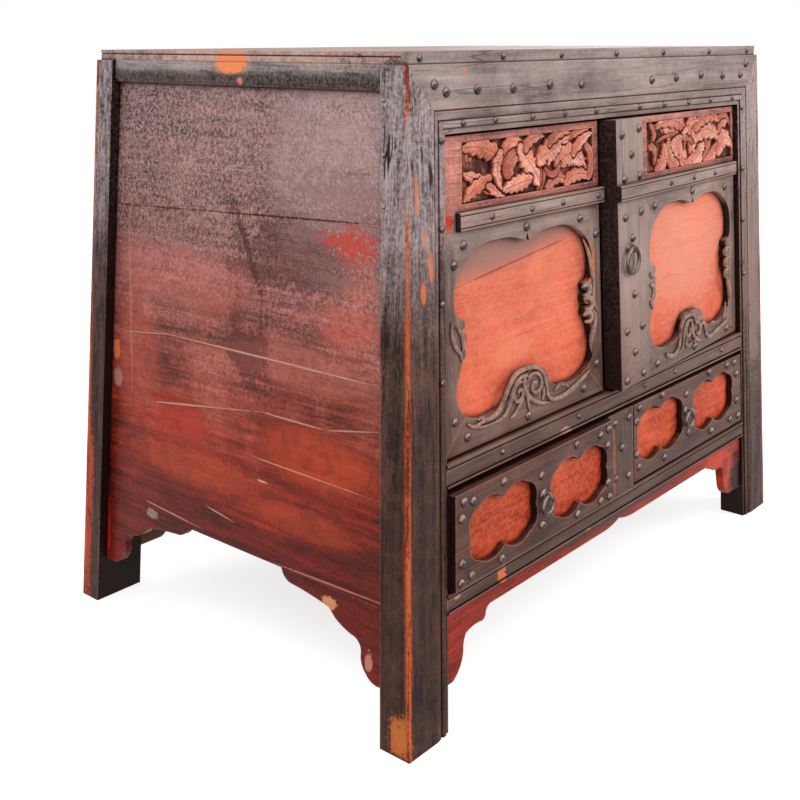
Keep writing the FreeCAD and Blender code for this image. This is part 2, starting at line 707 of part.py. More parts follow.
def astragal(near, back_near, setback):
    """The proud studded rail across a door: a full strip with a beaded moulding on its face."""
    back = plate([(back_near(frame_head), frame_head), (outer(frame_head), frame_head),
                  (outer(astragal_head), astragal_head), (back_near(astragal_head), astragal_head)],
                 door_depth, door_depth + frame_thickness)
    face = door_depth - astragal_proud
    lower, upper = frame_head, astragal_head
    profile = [(door_depth, lower), (face + astragal_quirk, lower), (face, lower + astragal_quirk),
               (face, lower + astragal_bead - astragal_quirk),
               (face + astragal_quirk, lower + astragal_bead - astragal_quirk),
               (face + astragal_quirk, lower + astragal_bead), (face, lower + astragal_bead),
               (face, upper - astragal_bead), (face + astragal_quirk, upper - astragal_bead),
               (face + astragal_quirk, upper - astragal_bead + astragal_quirk),
               (face, upper - astragal_bead + astragal_quirk), (face, upper - astragal_quirk),
               (face + astragal_quirk, upper), (door_depth, upper)]
    proud = bar(profile, near((lower + upper) / 2), outer((lower + upper) / 2) - setback)
    return join([back, proud])


def leaf(x, w, length, width, turn, near, far):
    """One leaf of the carving: a lens of two arcs."""
    lens = plate(outline((-length / 2, 0), [[(0, width / 2), (length / 2, 0)], [(0, -width / 2), (-length / 2, 0)]]),
                 near, far)
    lens.rotate(V(0, 0, 0), V(0, 1, 0), -turn)
    lens.translate(V(x, 0, w))
    return lens


def plaque(near, side_border, leaves):
    """The carved board at the head of a door: a border, a sunk field and the leaves that fill it."""
    far = door_depth + frame_thickness
    board = plate([(near(astragal_head), astragal_head), (outer(astragal_head), astragal_head),
                   (outer(door_head), door_head), (near(door_head), door_head)], door_depth, far)
    low, high = astragal_head + plaque_border, door_head - plaque_border
    field = [(near(low) + plaque_meeting_border, low), (outer(low) - side_border, low),
             (outer(high) - side_border, high), (near(high) + plaque_meeting_border, high)]
    ground = door_depth + plaque_sink
    board = board.cut(plate(field, door_depth - overrun, ground))
    left, right = field[3][0], field[2][0]
    carved = []
    for along, up, length, width, turn in leaves:
        carved.append(leaf(left + (right - left) * along, low + (high - low) * up, (right - left) * length,
                           (high - low) * width, turn, ground - relief_height, ground + plaque_sink))
    inside = plate(field, ground - relief_height, ground + plaque_sink)
    return join([board] + [c.common(inside) for c in carved])


def door_board(near):
    """The thin board behind the frame and the plaque, notched for the batten's lugs."""
    near_d, far_d = door_depth + frame_thickness, door_depth + frame_thickness + board_thickness
    inset = batten_setback + batten_width
    low, high = door_foot + lug_height, door_head - lug_height
    points = [(near(door_foot), door_foot), (outer(door_foot) - inset, door_foot), (outer(low) - inset, low),
              (outer(low), low), (outer(high), high), (outer(high) - inset, high),
              (outer(door_head) - inset, door_head), (near(door_head), door_head)]
    return plate(points, near_d, far_d)


def hinge_batten():
    """The upright batten behind a door's hinge edge, with the pins it turns on."""
    near_d = door_depth + frame_thickness
    mid_d, far_d = near_d + board_thickness, near_d + board_thickness + batten_thickness

    def strip(low, high, first, last, start, end):
        return plate([(outer(low) - last, low), (outer(low) - first, low), (outer(high) - first, high),
                      (outer(high) - last, high)], start, end)
    last = batten_setback + batten_width
    pieces = [strip(door_foot, door_head, batten_setback, last, mid_d, far_d),
              strip(door_foot, door_foot + lug_height, batten_setback, last, near_d, mid_d),
              strip(door_head - lug_height, door_head, batten_setback, last, near_d, mid_d)]
    return join(pieces + pivots(pivot_radius, pivot_length))


def door_places(shares, near):
    """Turns shares across and up a door frame into places."""
    out = []
    for u, v in shares:
        w = door_foot + (frame_head - door_foot) * v
        out.append((near(w) + (outer(w) - near(w)) * u, w))
    return out


def ring_set(x, w, face, radius):
    """A plate, an eye on a shank, the ring that hangs plumb in it, and the point that the ring swings about."""
    disc = Part.makeCylinder(plate_radius, plate_thickness, V(x, face, w), V(0, -1, 0))
    depth = face - plate_thickness - staple_reach
    shank = rod(V(x, face, w), V(x, depth + staple_eye, w), staple_wire)
    staple = join([disc, shank, Part.makeTorus(staple_eye, staple_wire, V(x, depth, w), V(1, 0, 0))])
    top = w - staple_eye + staple_wire + ring_wire + ring_play
    ring = Part.makeTorus(radius, ring_wire, V(x, depth, top - radius), V(0, 1, 0))
    ring.rotate(V(x, depth, top), V(1, 0, 0), front_lean)
    return staple, ring, V(x, depth, top)


def drawer_outer(w):
    """Where a drawer front ends beside the post, w up the front."""
    return inner_edge(w) - drawer_gap - drawer_hang


def window_wire(centre_share, middle_share):
    """A cusped drawer window of four lobes."""
    middle = drawer_foot + (drawer_head - drawer_foot) * middle_share
    near = divider_half_width + drawer_gap
    width = drawer_outer(middle) - near

    def at(a, b, right, up):
        return (near + width * (centre_share + right * a * window_half_width_share),
                middle + up * b * (drawer_head - drawer_foot) * window_half_height_share)
    start = (0.0, window_cusp_share)
    runs, here = [], start
    forward = window_shares
    ends = [start] + [run[-1] for run in forward]
    backward = [run[:-1] + [before] for run, before in zip(reversed(forward), reversed(ends[:-1]))]
    for shares, right, up in ((forward, 1, 1), (backward, 1, -1), (forward, -1, -1), (backward, -1, 1)):
        runs += [[at(a, b, right, up) for a, b in run] for run in shares]
    return outline(at(start[0], start[1], 1, 1), runs)


def drawer_face(near_d, far_d):
    """The outline of a drawer front as a plate."""
    near = divider_half_width + drawer_gap
    return plate([(near, drawer_foot), (drawer_outer(drawer_foot), drawer_foot),
                  (drawer_outer(drawer_head), drawer_head), (near, drawer_head)], near_d, far_d)


def drawer_box():
    """Two sides, a back and a bottom, level, cut to meet the leaning front."""
    base = bottom_rail_head + drawer_rest_gap
    out = drawer_outer(drawer_head) - overrun
    near = divider_half_width + drawer_gap + drawer_side_gap
    start, end = -half_foot_depth, -half_head_depth + drawer_length
    head = base + drawer_side_height
    wall = drawer_side_thickness
    floor = base + drawer_bottom_rise
    sides = [block(near, near + wall, start, end, base, head), block(out - wall, out, start, end, base, head)]
    back = block(near + wall, out - wall, end - wall, end, base, head)
    bottom = block(near + wall, out - wall, start, end - wall, floor, floor + drawer_bottom_thickness)
    depth = moulding_depth + drawer_frame_thickness + drawer_front_thickness
    ahead = stand(block(-half_foot_width, half_foot_width, -foot_depth, depth, -post_height, post_height), "front")
    return [piece.cut(ahead) for piece in sides + [back, bottom]]


def turned(shape, hand, angle):
    """Turns a door piece, standing in place, about its own pivot line; hand is 1 for the right door."""
    foot, head = [world_point(V(hand * p.x, p.y, p.z)) for p in hinge_axis()]
    out = shape.copy()
    out.rotate(foot, head - foot, angle * hand)
    return out


def world_point(point):
    """A point of the upright front frame where it stands on the case."""
    vertex = stand(Part.Vertex(point), "front")
    return vertex.Point


def build_case():
    """All fixed pieces of the case."""
    envelope = case_envelope()
    mid_tenon = tenon_bar(inner_edge, mid_rail_foot, mid_rail_head)
    low_tenon = tenon_bar(inner_edge, bottom_rail_foot, bottom_rail_head)
    mid_rail = beaded_rail(mid_rail_foot, mid_rail_head, mid_tenon)
    bottom_rail = beaded_rail(bottom_rail_foot, bottom_rail_head, low_tenon)
    top_rail = front_top_rail(envelope)
    sockets = pivots(pivot_radius + pivot_clearance, pivot_length + pivot_end_gap)
    for socket in sockets + [mirrored(s) for s in sockets]:
        top_rail = top_rail.cut(stand(socket, "front"))
        mid_rail = mid_rail.cut(stand(socket, "front"))
    side_cuts = [stand(side_slot(), "left"), stand(side_tenon(), "left")]
    mitre = stand(plate(mitre_outline(), -overrun, mitred_layer), "front")
    post = front_post().cut(Part.makeCompound([mitre]))
    for cutter in side_cuts + [stand(mid_tenon, "front"), stand(low_tenon, "front")]:
        post = post.cut(cutter)
    post = post.removeSplitter()
    rear = back_post()
    for cutter in side_cuts + [stand(back_tenon(), "back")]:
        rear = rear.cut(cutter)
    pieces = {"post_front_left": post, "post_front_right": mirrored(post), "post_back_left": rear,
              "post_back_right": mirrored(rear), "front_top_rail": top_rail, "front_mid_rail": mid_rail,
              "front_bottom_rail": bottom_rail, "drawer_divider": stand(divider(), "front"),
              "front_apron": apron(), "back_apron": back_apron(), "back_top_rail": back_top_rail(envelope),
              "back_panel": back_panel(),
              "top_board": top_board(), "front_edging": front_edging()}
    left = {"side_rail_left": side_rail(envelope)}
    for name, plank in zip(("upper", "middle", "lower"), side_planks()):
        left["side_plank_left_" + name] = stand(plank, "left")
    left["side_bracket_left_front"] = stand(side_bracket(side_front_edge, housing), "left")
    left["side_bracket_left_back"] = stand(mirrored(side_bracket(side_back_edge, housing)), "left")
    for name, shape in left.items():
        pieces[name] = shape
        pieces[name.replace("left", "right")] = mirrored(shape)
    around = list(pieces.values())
    floor_top = (mid_rail_head - floor_drop) * math.cos(math.radians(front_lean))
    pieces["cupboard_floor"] = level_board(floor_top, floor_thickness, around)
    pieces["runner_board"] = level_board(bottom_rail_head, runner_board_thickness, around)
    pieces["drawer_guides"] = Part.makeCompound(drawer_guides(pieces))
    pieces["case_studs"] = Part.makeCompound(case_studs())
    return pieces


def drawer_guides(pieces):
    """Three battens on the runner board that keep the drawers straight."""
    base, head = bottom_rail_head, bottom_rail_head + guide_height
    rear = half_head_depth - back_panel_depth - overrun
    start = -half_foot_depth + post_side_foot
    out = drawer_outer(drawer_head) - overrun + drawer_side_gap
    side = block(out, out + guide_thickness, start, rear, base, head)
    middle = block(-divider_half_width, divider_half_width, -half_foot_depth, rear, base, head)
    for name in ("drawer_divider", "front_bottom_rail"):
        middle = middle.cut(pieces[name])
    front = stand(block(-half_foot_width, half_foot_width, -foot_depth, moulding_depth + divider_thickness,
                        -post_height, post_height), "front")
    return [side, mirrored(side), middle.cut(front)]


def case_studs():
    """Every nail head on the fixed case."""
    flat_foot = top_rail_foot + rail_moulding_height
    flat = front_slant - flat_foot
    front = studs_at([(half_head_width * u, flat_foot + flat * v) for u, v in top_rail_stud_shares], 0)
    crest = moulding_depth * bead_crest_share
    bead_w = flat_foot - rail_moulding_height * bead_middle_share
    front += studs_at([(half_head_width * u, bead_w) for u in bead_stud_shares], crest, small_stud_radius,
                      small_stud_height)
    for share in post_stud_shares:
        w = front_slant * share
        x = inner_edge(w) + post_moulding_width * (1 - bead_middle_share)
        front += studs_at([(-x, w), (x, w)], crest, small_stud_radius, small_stud_height)
    mid = (mid_rail_foot + mid_rail_head) / 2
    front += studs_at([(half_head_width * u, mid) for u in mid_rail_stud_shares], moulding_depth, small_stud_radius,
                      small_stud_height)
    front += studs_at([(divider_half_width * u, bottom_rail_head + (divider_head - bottom_rail_head) * v)
                       for u, v in divider_stud_shares], moulding_depth)
    placed = [stand(s, "front") for s in front]
    edge = studs_at([(half_head_width * u, post_height + top_board_thickness / 2) for u in edging_stud_shares],
                    top_inset_front - half_head_depth, small_stud_radius, small_stud_height)
    tacks = []
    for share in side_tack_shares:
        w = side_slant * share
        tacks += studs_at([(side_front_edge(w) + tack_radius * 2, w)], 0, tack_radius, tack_height)
    left = [stand(s, "left") for s in tacks]
    return placed + edge + left + [mirrored(s) for s in left]


def build_doors():
    """Both doors with everything that turns with them; the right one stands ajar."""
    def left_near(w):
        return meeting(w, left_meeting_foot, left_meeting_head)

    def stile_edge(w):
        return -meeting(w, stile_edge_foot, stile_edge_head)

    def stile_inner(w):
        return stile_edge(w) + stile_width

    doors = {}
    plans = {"left": (left_near, left_meeting_margin, left_astragal_setback, left_plaque_side_border,
                      relief_leaf_shares),
             "right": (stile_inner, right_meeting_margin, astragal_setback, right_plaque_side_border,
                       [(1 - a, u, l, w, -t) for a, u, l, w, t in relief_leaf_shares])}
    for hand, (near, margin, setback, side_border, carving) in plans.items():
        name = "door_" + hand + "_"
        rail_end = stile_edge if hand == "right" else near

        def proud_end(w, end=rail_end):
            return end(w) - astragal_overhang
        pieces = {name + "frame_" + k: s for k, s in frame_pieces(near, margin).items()}
        pieces[name + "astragal"] = astragal(proud_end, near, setback)
        pieces[name + "plaque"] = plaque(near, side_border, carving)
        pieces[name + "board"] = door_board(near)
        pieces[name + "batten"] = hinge_batten()
        rail_w = (frame_head + astragal_head) / 2
        face = door_depth - astragal_proud
        if hand == "left":
            heads = studs_at(door_places(left_frame_stud_shares, near), door_depth)
            rail_studs = left_astragal_stud_shares
        else:
            heads = studs_at(door_places(right_frame_stud_shares, near), door_depth)
            rail_studs = right_astragal_stud_shares
            pieces[name + "stile"] = plate([(stile_edge(door_foot), door_foot), (stile_inner(door_foot), door_foot),
                                            (stile_inner(door_head), door_head), (stile_edge(door_head), door_head)],
                                           door_depth, door_depth + stile_thickness)
            for u, v in stile_stud_shares:
                w = door_foot + (door_head - door_foot) * v
                heads += studs_at([(stile_edge(w) + stile_width * u, w)], door_depth)
            ring_w = door_foot + (door_head - door_foot) * door_ring_up_share
            ring_x = stile_edge(ring_w) + stile_width * door_ring_along_share
            staple, ring, swing = ring_set(ring_x, ring_w, door_depth, door_ring_radius)
            heads.append(staple)
            pieces["ring_door"] = ring
            doors["ring_door_swing"] = swing
        heads += studs_at([(near(rail_w) + (outer(rail_w) - near(rail_w)) * u, rail_w) for u in rail_studs], face,
                          small_stud_radius, small_stud_height)
        pieces[name + ("ironwork" if hand == "right" else "studs")] = Part.makeCompound(heads)
        for key, shape in pieces.items():
            if hand == "left":
                doors[key] = stand(mirrored(shape), "front")
            else:
                doors[key] = turned(stand(shape, "front"), 1, ajar_degrees)
    return doors


def build_drawers():
    """Both drawers; the left one stands out a little."""
    drawers = {}
    near = divider_half_width + drawer_gap
    tables = {"left": (left_window_shares, left_drawer_stud_shares, left_drawer_ring_shares),
              "right": (right_window_shares, right_drawer_stud_shares, right_drawer_ring_shares)}
    for hand, (centres, shares, (ring_along, ring_up)) in tables.items():
        name = "drawer_" + hand + "_"
        face, mid = moulding_depth, moulding_depth + drawer_frame_thickness
        frame = drawer_face(face, mid)
        for along, up in centres:
            frame = frame.cut(plate(window_wire(along, up), face - overrun, mid + overrun))
        heads = []
        for u, v in shares:
            w = drawer_foot + (drawer_head - drawer_foot) * v
            across = 1 - u if hand == "left" else u
            heads.append(stud(near + (drawer_outer(w) - near) * across, w, face, stud_radius, stud_height))
        ring_w = drawer_foot + (drawer_head - drawer_foot) * ring_up
        ring_x = near + (drawer_outer(ring_w) - near) * ring_along
        staple, ring, swing = ring_set(ring_x, ring_w, face, drawer_ring_radius)
        leaning = {name + "frame": frame, name + "front": drawer_face(mid, mid + drawer_front_thickness),
                   name + "ironwork": Part.makeCompound(heads + [staple]), "ring_drawer_" + hand: ring}
        placed = {key: stand(shape, "front") for key, shape in leaning.items()}
        placed[name + "box"] = Part.makeCompound(drawer_box())
        for key, shape in placed.items():
            if hand == "left":
                shape = mirrored(shape)
                shape.translate(V(0, -left_pull, 0))
            drawers[key] = shape
        point = world_point(swing)
        drawers["ring_drawer_" + hand + "_swing"] = (V(-point.x, point.y - left_pull, point.z) if hand == "left"
                                                     else point)
    return drawers


def main():
    """Builds and writes every piece, and prints the places of the joints."""
    pieces = build_case()
    pieces.update(build_doors())
    pieces.update(build_drawers())
    for name, shape in pieces.items():
        if not name.endswith("_swing"):
            save(name, shape)
    foot, head = hinge_axis()
    for hand, side in (("left", -1), ("right", 1)):
        a, b = world_point(V(side * foot.x, foot.y, foot.z)), world_point(V(side * head.x, head.y, head.z))
        print("hinge", hand, [round(v / 1000, 6) for v in a], [round(v, 6) for v in (b - a).normalize()])
    door_swing = turned(Part.Vertex(world_point(pieces["ring_door_swing"])), 1, ajar_degrees).Point
    side_a = turned(Part.Vertex(world_point(pieces["ring_door_swing"] + V(1, 0, 0))), 1, ajar_degrees).Point
    print("ring_door", [round(v / 1000, 6) for v in door_swing], [round(v, 6) for v in side_a - door_swing])
    for hand in ("left", "right"):
        print("ring_drawer_" + hand, [round(v / 1000, 6) for v in pieces["ring_drawer_" + hand + "_swing"]])


main()
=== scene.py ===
"""Looks of a low Chinese wedding cabinet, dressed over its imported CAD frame.

Sizes are in metres. X runs to the right along the front, the front faces -Y, and Z is up.
"""

import logging
import math
from dataclasses import dataclass
from enum import Enum

import bpy
import numpy as np
from mathutils import Matrix, Vector


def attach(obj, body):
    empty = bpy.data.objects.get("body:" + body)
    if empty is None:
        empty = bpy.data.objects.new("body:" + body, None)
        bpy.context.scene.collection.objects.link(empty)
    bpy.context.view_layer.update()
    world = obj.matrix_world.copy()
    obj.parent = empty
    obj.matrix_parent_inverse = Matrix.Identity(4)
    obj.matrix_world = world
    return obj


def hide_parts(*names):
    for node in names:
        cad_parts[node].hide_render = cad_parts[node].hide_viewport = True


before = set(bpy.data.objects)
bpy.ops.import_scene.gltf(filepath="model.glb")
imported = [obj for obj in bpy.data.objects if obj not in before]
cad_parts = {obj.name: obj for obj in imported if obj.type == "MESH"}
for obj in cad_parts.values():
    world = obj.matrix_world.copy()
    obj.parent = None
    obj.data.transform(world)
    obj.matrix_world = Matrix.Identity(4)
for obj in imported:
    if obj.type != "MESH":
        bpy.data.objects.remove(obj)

log = logging.getLogger("cabinet")

Colour = tuple[float, float, float]
Point = tuple[float, float, float]
Pixel = tuple[int, int]

FRONT_LEAN = math.atan2(0.085, 1.640)
FRONT_SLOPE = 0.0518
SIDE_SLOPE = 0.0544
FOOT_FRONT = -0.333
FOOT_SIDE = 0.5125
AJAR = math.radians(3.6)
RIGHT_HINGE = Vector((0.3833, -0.2901, 0.3453))
RIGHT_HINGE_AXIS = Vector((-0.048, 0.0517, 0.9975))


def paint(red: float, green: float, blue: float) -> Colour:
    """Turns a colour that is written 0 to 255 into the shader's linear one.

    Args:
        red: red part, 0 to 255.
        green: green part, 0 to 255.
        blue: blue part, 0 to 255.

    Returns:
        The colour in linear numbers.
    """
    def linear(part: float) -> float:
        """Gives one part in linear numbers."""
        share = part / 255.0
        return share / 12.92 if share <= 0.04045 else ((share + 0.055) / 1.055) ** 2.4

    return linear(red), linear(green), linear(blue)


# Near black, used only for painted shade.
NEAR_BLACK = paint(28, 12, 9)


class Grain(Enum):
    """The way that a board's grain runs, as how far a pattern is stretched along X, Y and Z."""

    ALONG = (0.05, 1.0, 1.0)
    DEEP = (1.0, 0.05, 1.0)
    UPRIGHT = (1.0, 1.0, 0.05)
    EVEN = (1.0, 1.0, 1.0)


class ShadedFaces(Enum):
    """The faces of a piece that are painted nearly black: painted shade."""

    NONE = "none"
    INWARD = "faces that look to the cabinet's middle"
    SIDEWAYS = "reveals that look left or right"
    ENDS = "all four edges of a board"


class Value:
    """A number in a material's graph, which Python sums can use."""

    def __init__(self, graph: "Graph", socket: bpy.types.NodeSocket) -> None:
        """Keeps the socket.

        Args:
            graph: the graph that the socket is in.
            socket: the output that carries the number.
        """
        self.graph = graph
        self.socket = socket

    def math(self, operation: str, *terms: "Value | float") -> "Value":
        """Adds one Math node.

        Args:
            operation: Blender's name for the sum.
            terms: what goes into its sockets, in order.

        Returns:
            The result.
        """
        node = self.graph.node("ShaderNodeMath", {"operation": operation}, dict(enumerate(terms)))
        return Value(self.graph, node.outputs[0])

    def __add__(self, other: "Value | float") -> "Value":
        """self + other."""
        return self.math("ADD", self, other)

    def __radd__(self, other: float) -> "Value":
        """other + self."""
        return self.math("ADD", other, self)

    def __sub__(self, other: "Value | float") -> "Value":
        """self - other."""
        return self.math("SUBTRACT", self, other)

    def __rsub__(self, other: float) -> "Value":
        """other - self."""
        return self.math("SUBTRACT", other, self)

    def __mul__(self, other: "Value | float") -> "Value":
        """self * other."""
        return self.math("MULTIPLY", self, other)

    def __pow__(self, other: float) -> "Value":
        """self ** other."""
        return self.math("POWER", self, other)

    def __abs__(self) -> "Value":
        """The number without its sign."""
        return self.math("ABSOLUTE", self)

    def most(self, other: "Value | float") -> "Value":
        """The larger of the two."""
        return self.math("MAXIMUM", self, other)

    def least(self, other: "Value | float") -> "Value":
        """The smaller of the two."""
        return self.math("MINIMUM", self, other)

    def step(self, low: float, high: float) -> "Value":
        """Goes softly from 0 at low to 1 at high.

        Args:
            low: where it is 0.
            high: where it is 1, which may be below low.

        Returns:
            The share, from 0 to 1.
        """
        if high < low:
            return 1 - self.step(high, low)
        node = self.graph.node("ShaderNodeMapRange", {"interpolation_type": "SMOOTHSTEP"},
                               {"Value": self, "From Min": low, "From Max": high})
        return Value(self.graph, node.outputs[0])


EDGE_SAMPLES = 6
CREVICE_SAMPLES = 8


class Graph:
    """A material's nodes."""

    def __init__(self, name: str) -> None:
        """Starts an empty material.

        Args:
            name: the material's name.
        """
        self.material = bpy.data.materials.new(name)
        self.material.use_nodes = True
        self.tree = self.material.node_tree
        self.tree.nodes.clear()
        self._place: bpy.types.NodeSocket | None = None

    def node(self, kind: str, settings: dict | None = None, sockets: dict | None = None) -> bpy.types.Node:
        """Adds a node, sets it, and then fills its sockets.

        Args:
            kind: Blender's name for the node's type.
            settings: its own settings; a ramp's stops are under "stops".
            sockets: values or links, by socket name or number.

        Returns:
            The node.
        """
        node = self.tree.nodes.new(kind)
        for key, value in (settings or {}).items():
            if key == "stops":
                self._stops(node.color_ramp, value)
            else:
                setattr(node, key, value)
        for key, value in (sockets or {}).items():
            if value is None:
                continue
            socket = node.inputs[key]
            source = value.socket if isinstance(value, Value) else value
            if isinstance(source, bpy.types.NodeSocket):
                self.tree.links.new(source, socket)
            elif socket.type == "RGBA":
                socket.default_value = (*source, 1.0)
            else:
                socket.default_value = source
        return node

    @staticmethod
    def _stops(ramp: bpy.types.ColorRamp, stops: list[tuple[float, Colour]]) -> None:
        """Gives a ramp its stops.

        Args:
            ramp: the ramp.
            stops: place and colour of each, in order.
        """
        ramp.elements[0].position, ramp.elements[0].color = stops[0][0], (*stops[0][1], 1.0)
        ramp.elements[1].position, ramp.elements[1].color = stops[-1][0], (*stops[-1][1], 1.0)
        for place, colour in stops[1:-1]:
            ramp.elements.new(place).color = (*colour, 1.0)

    def value(self, node: bpy.types.Node, output: str | int = 0) -> Value:
        """An output of a node as a number for sums."""
        return Value(self, node.outputs[output])

    def place(self) -> bpy.types.NodeSocket:
        """The point on the object, in metres."""
        if self._place is None:
            self._place = self.node("ShaderNodeTexCoord").outputs["Object"]
        return self._place

    def across(self) -> tuple[Value, Value, Value]:
        """The point's X, Y and Z as numbers."""
        node = self.node("ShaderNodeSeparateXYZ", sockets={0: self.place()})
        return self.value(node, 0), self.value(node, 1), self.value(node, 2)

    def facing(self) -> tuple[Value, Value, Value]:
        """The X, Y and Z of the way that the surface faces, on the piece itself."""
        geometry = self.node("ShaderNodeNewGeometry")
        turned = self.node("ShaderNodeVectorTransform",
                           {"vector_type": "NORMAL", "convert_from": "WORLD", "convert_to": "OBJECT"},
                           {0: geometry.outputs["Normal"]})
        node = self.node("ShaderNodeSeparateXYZ", sockets={0: turned.outputs[0]})
        return self.value(node, 0), self.value(node, 1), self.value(node, 2)

    def outward(self) -> Value:
        """How far a face looks away from the cabinet's middle, below 0 for one that looks inward."""
        x, y, _ = self.across()
        across, deep, _ = self.facing()
        return across * x + deep * y

    def stretched(self, grain: Grain, shift: Point = (0.0, 0.0, 0.0)) -> bpy.types.NodeSocket:
        """The point with the grain's way drawn out.

        Args:
            grain: the way that the grain runs.
            shift: moves the pattern, so that two finishes differ.

        Returns:
            The point for a texture.
        """
        return self.node("ShaderNodeMapping", None, {"Vector": self.place(), "Location": shift,
                                                    "Scale": grain.value}).outputs[0]

    def noise(self, vector: bpy.types.NodeSocket, scale: float, detail: float = 4.0,
              roughness: float = 0.55, distortion: float = 0.0) -> Value:
        """A cloudy pattern from 0 to 1.

        Args:
            vector: the point to read it at.
            scale: how fine it is, per metre.
            detail: how many finer layers it has.
            roughness: how strong those are.
            distortion: how much it is drawn about.

        Returns:
            The pattern.
        """
        node = self.node("ShaderNodeTexNoise", None, {"Vector": vector, "Scale": scale, "Detail": detail,
                                                     "Roughness": roughness, "Distortion": distortion})
        return self.value(node, 0)

    def mix(self, share: Value | float, first: object, second: object, blend: str = "MIX") -> bpy.types.NodeSocket:
        """Mixes two colours.

        Args:
            share: how much of the second there is.
            first: a colour or a link to one.
            second: a colour or a link to one.
            blend: Blender's name for the way that they mix.

        Returns:
            The mixed colour.
        """
        node = self.node("ShaderNodeMix", {"data_type": "RGBA", "blend_type": blend},
                         {0: share, 6: first, 7: second})
        return node.outputs[2]

    def ramp(self, share: Value, stops: list[tuple[float, Colour]]) -> bpy.types.NodeSocket:
        """A colour that goes through the stops as share goes from 0 to 1."""
        return self.node("ShaderNodeValToRGB", {"stops": stops}, {0: share}).outputs[0]

    def edges(self, radius: float) -> tuple[Value, bpy.types.NodeSocket]:
        """Finds the piece's edges.

        Args:
            radius: how far from an edge it reaches.

        Returns:
            How much the surface turns there, from 0, and the rounded normal.
        """
        soft = self.node("ShaderNodeBevel", {"samples": EDGE_SAMPLES}, {"Radius": radius}).outputs[0]
        sharp = self.node("ShaderNodeNewGeometry").outputs["Normal"]
        dot = self.node("ShaderNodeVectorMath", {"operation": "DOT_PRODUCT"}, {0: soft, 1: sharp})
        return 1 - Value(self, dot.outputs["Value"]), soft

    def crevice(self, reach: float) -> Value:
        """How far the surface lies in a corner or gap, from 0 in the open.

        Args:
            reach: how near the other surface has to be.

        Returns:
            The share, up to 1.
        """
        node = self.node("ShaderNodeAmbientOcclusion", {"samples": CREVICE_SAMPLES}, {"Distance": reach})
        return 1 - self.value(node, "AO")

    def bump(self, height: Value, depth: float, normal: bpy.types.NodeSocket | None = None) -> bpy.types.NodeSocket:
        """Raises the surface by a pattern.

        Args:
            height: the pattern, 0 to 1.
            depth: how far 1 is from 0.
            normal: the normal that it starts from.

        Returns:
            The normal.
        """
        node = self.node("ShaderNodeBump", None, {"Strength": 1.0, "Distance": depth, "Height": height,
                                                 "Normal": normal})
        return node.outputs[0]

    def surface(self, **sockets: object) -> bpy.types.Material:
        """Ends the graph in one Principled surface.

        Args:
            sockets: the surface's sockets by name, with _ for a space.

        Returns:
            The material.
        """
        named = {key.replace("_", " "): value for key, value in sockets.items()}
        surface = self.node("ShaderNodeBsdfPrincipled", None, named)
        self.node("ShaderNodeOutputMaterial", None, {"Surface": surface.outputs[0]})
        return self.material


@dataclass(frozen=True)
class Patch:
    """A worn or stained place on a finish, or a patch of painted light or painted shade: an oval on the object with a
    ragged edge.
    """

    centre: Point
    size: Point
    colour: Colour
    strength: float = 1.0
    turn: Point = (0.0, 0.0, 0.0)
    ragged: float = 2.4

    def over(self, graph: Graph, base: bpy.types.NodeSocket, pattern: Value, seen: Value | float
             ) -> bpy.types.NodeSocket:
        """Lays the patch over a colour.

        Args:
            graph: the finish's graph.
            base: the colour under it.
            pattern: a fine pattern that breaks its edge up.
            seen: the share of the patch that the face takes.

        Returns:
            The colour with the patch.
        """
        inside = graph.node("ShaderNodeMapping", {"vector_type": "TEXTURE"},
                            {"Vector": graph.place(), "Location": self.centre, "Rotation": self.turn,
                             "Scale": self.size})
        length = graph.node("ShaderNodeVectorMath", {"operation": "LENGTH"}, {0: inside.outputs[0]})
        share = (Value(graph, length.outputs["Value"]) + (pattern - 0.5) * self.ragged * 2.0).step(1.15, 0.70)
        return graph.mix(share * self.strength * seen, base, self.colour)


MARK_DEPTH = 0.1


@dataclass(frozen=True)
class Face:
    """A face that marks are laid on: across it is X on the front and Y on a side, and up is Z on both."""

    place: float
    front: bool

    def patch(self, across: float, up: float, half: float, tall: float, colour: Colour, strength: float = 1.0,
              ragged: float = 2.4, turn: float = 0.0) -> Patch:
        """A worn or stained place, or a patch of painted light or painted shade.

        Args:
            across: its middle across the face.
            up: its middle above the floor.
            half: half its width.
            tall: half its height.
            colour: its colour.
            strength: how well it covers.
            ragged: how broken its edge is.
            turn: how far it is turned on the face.

        Returns:
            The patch.
        """
        if self.front:
            return Patch((across, self.place, up), (half, MARK_DEPTH, tall), colour, strength, (0.0, turn, 0.0), ragged)
        return Patch((self.place, across, up), (MARK_DEPTH, half, tall), colour, strength, (turn, 0.0, 0.0), ragged)

    def line(self, start: tuple[float, float], end: tuple[float, float], width: float, colour: Colour,
             strength: float = 1.0) -> Patch:
        """A thin line, as a long narrow patch.

        Args:
            start: one end, across and up.
            end: the other end.
            width: half its width.
            colour: its colour.
            strength: how well it covers.

        Returns:
            The patch.
        """
        run, rise = end[0] - start[0], end[1] - start[1]
        turn = math.atan2(rise, run)
        return self.patch((start[0] + end[0]) / 2, (start[1] + end[1]) / 2, math.hypot(run, rise) / 2, width, colour,
                          strength, turn=-turn if self.front else turn)


FRONT = Face(-0.31, True)
SIDE = Face(-0.48, False)


BROAD_SCALE = 8.0
STREAK_SCALE = 75.0
FINE_SCALE = 400.0
SPECK_SCALE = 190.0
DUST_AND_SHEEN_SCALE = 420.0
SPLIT_SCALE = 30.0
EDGE_REACH = 0.0030


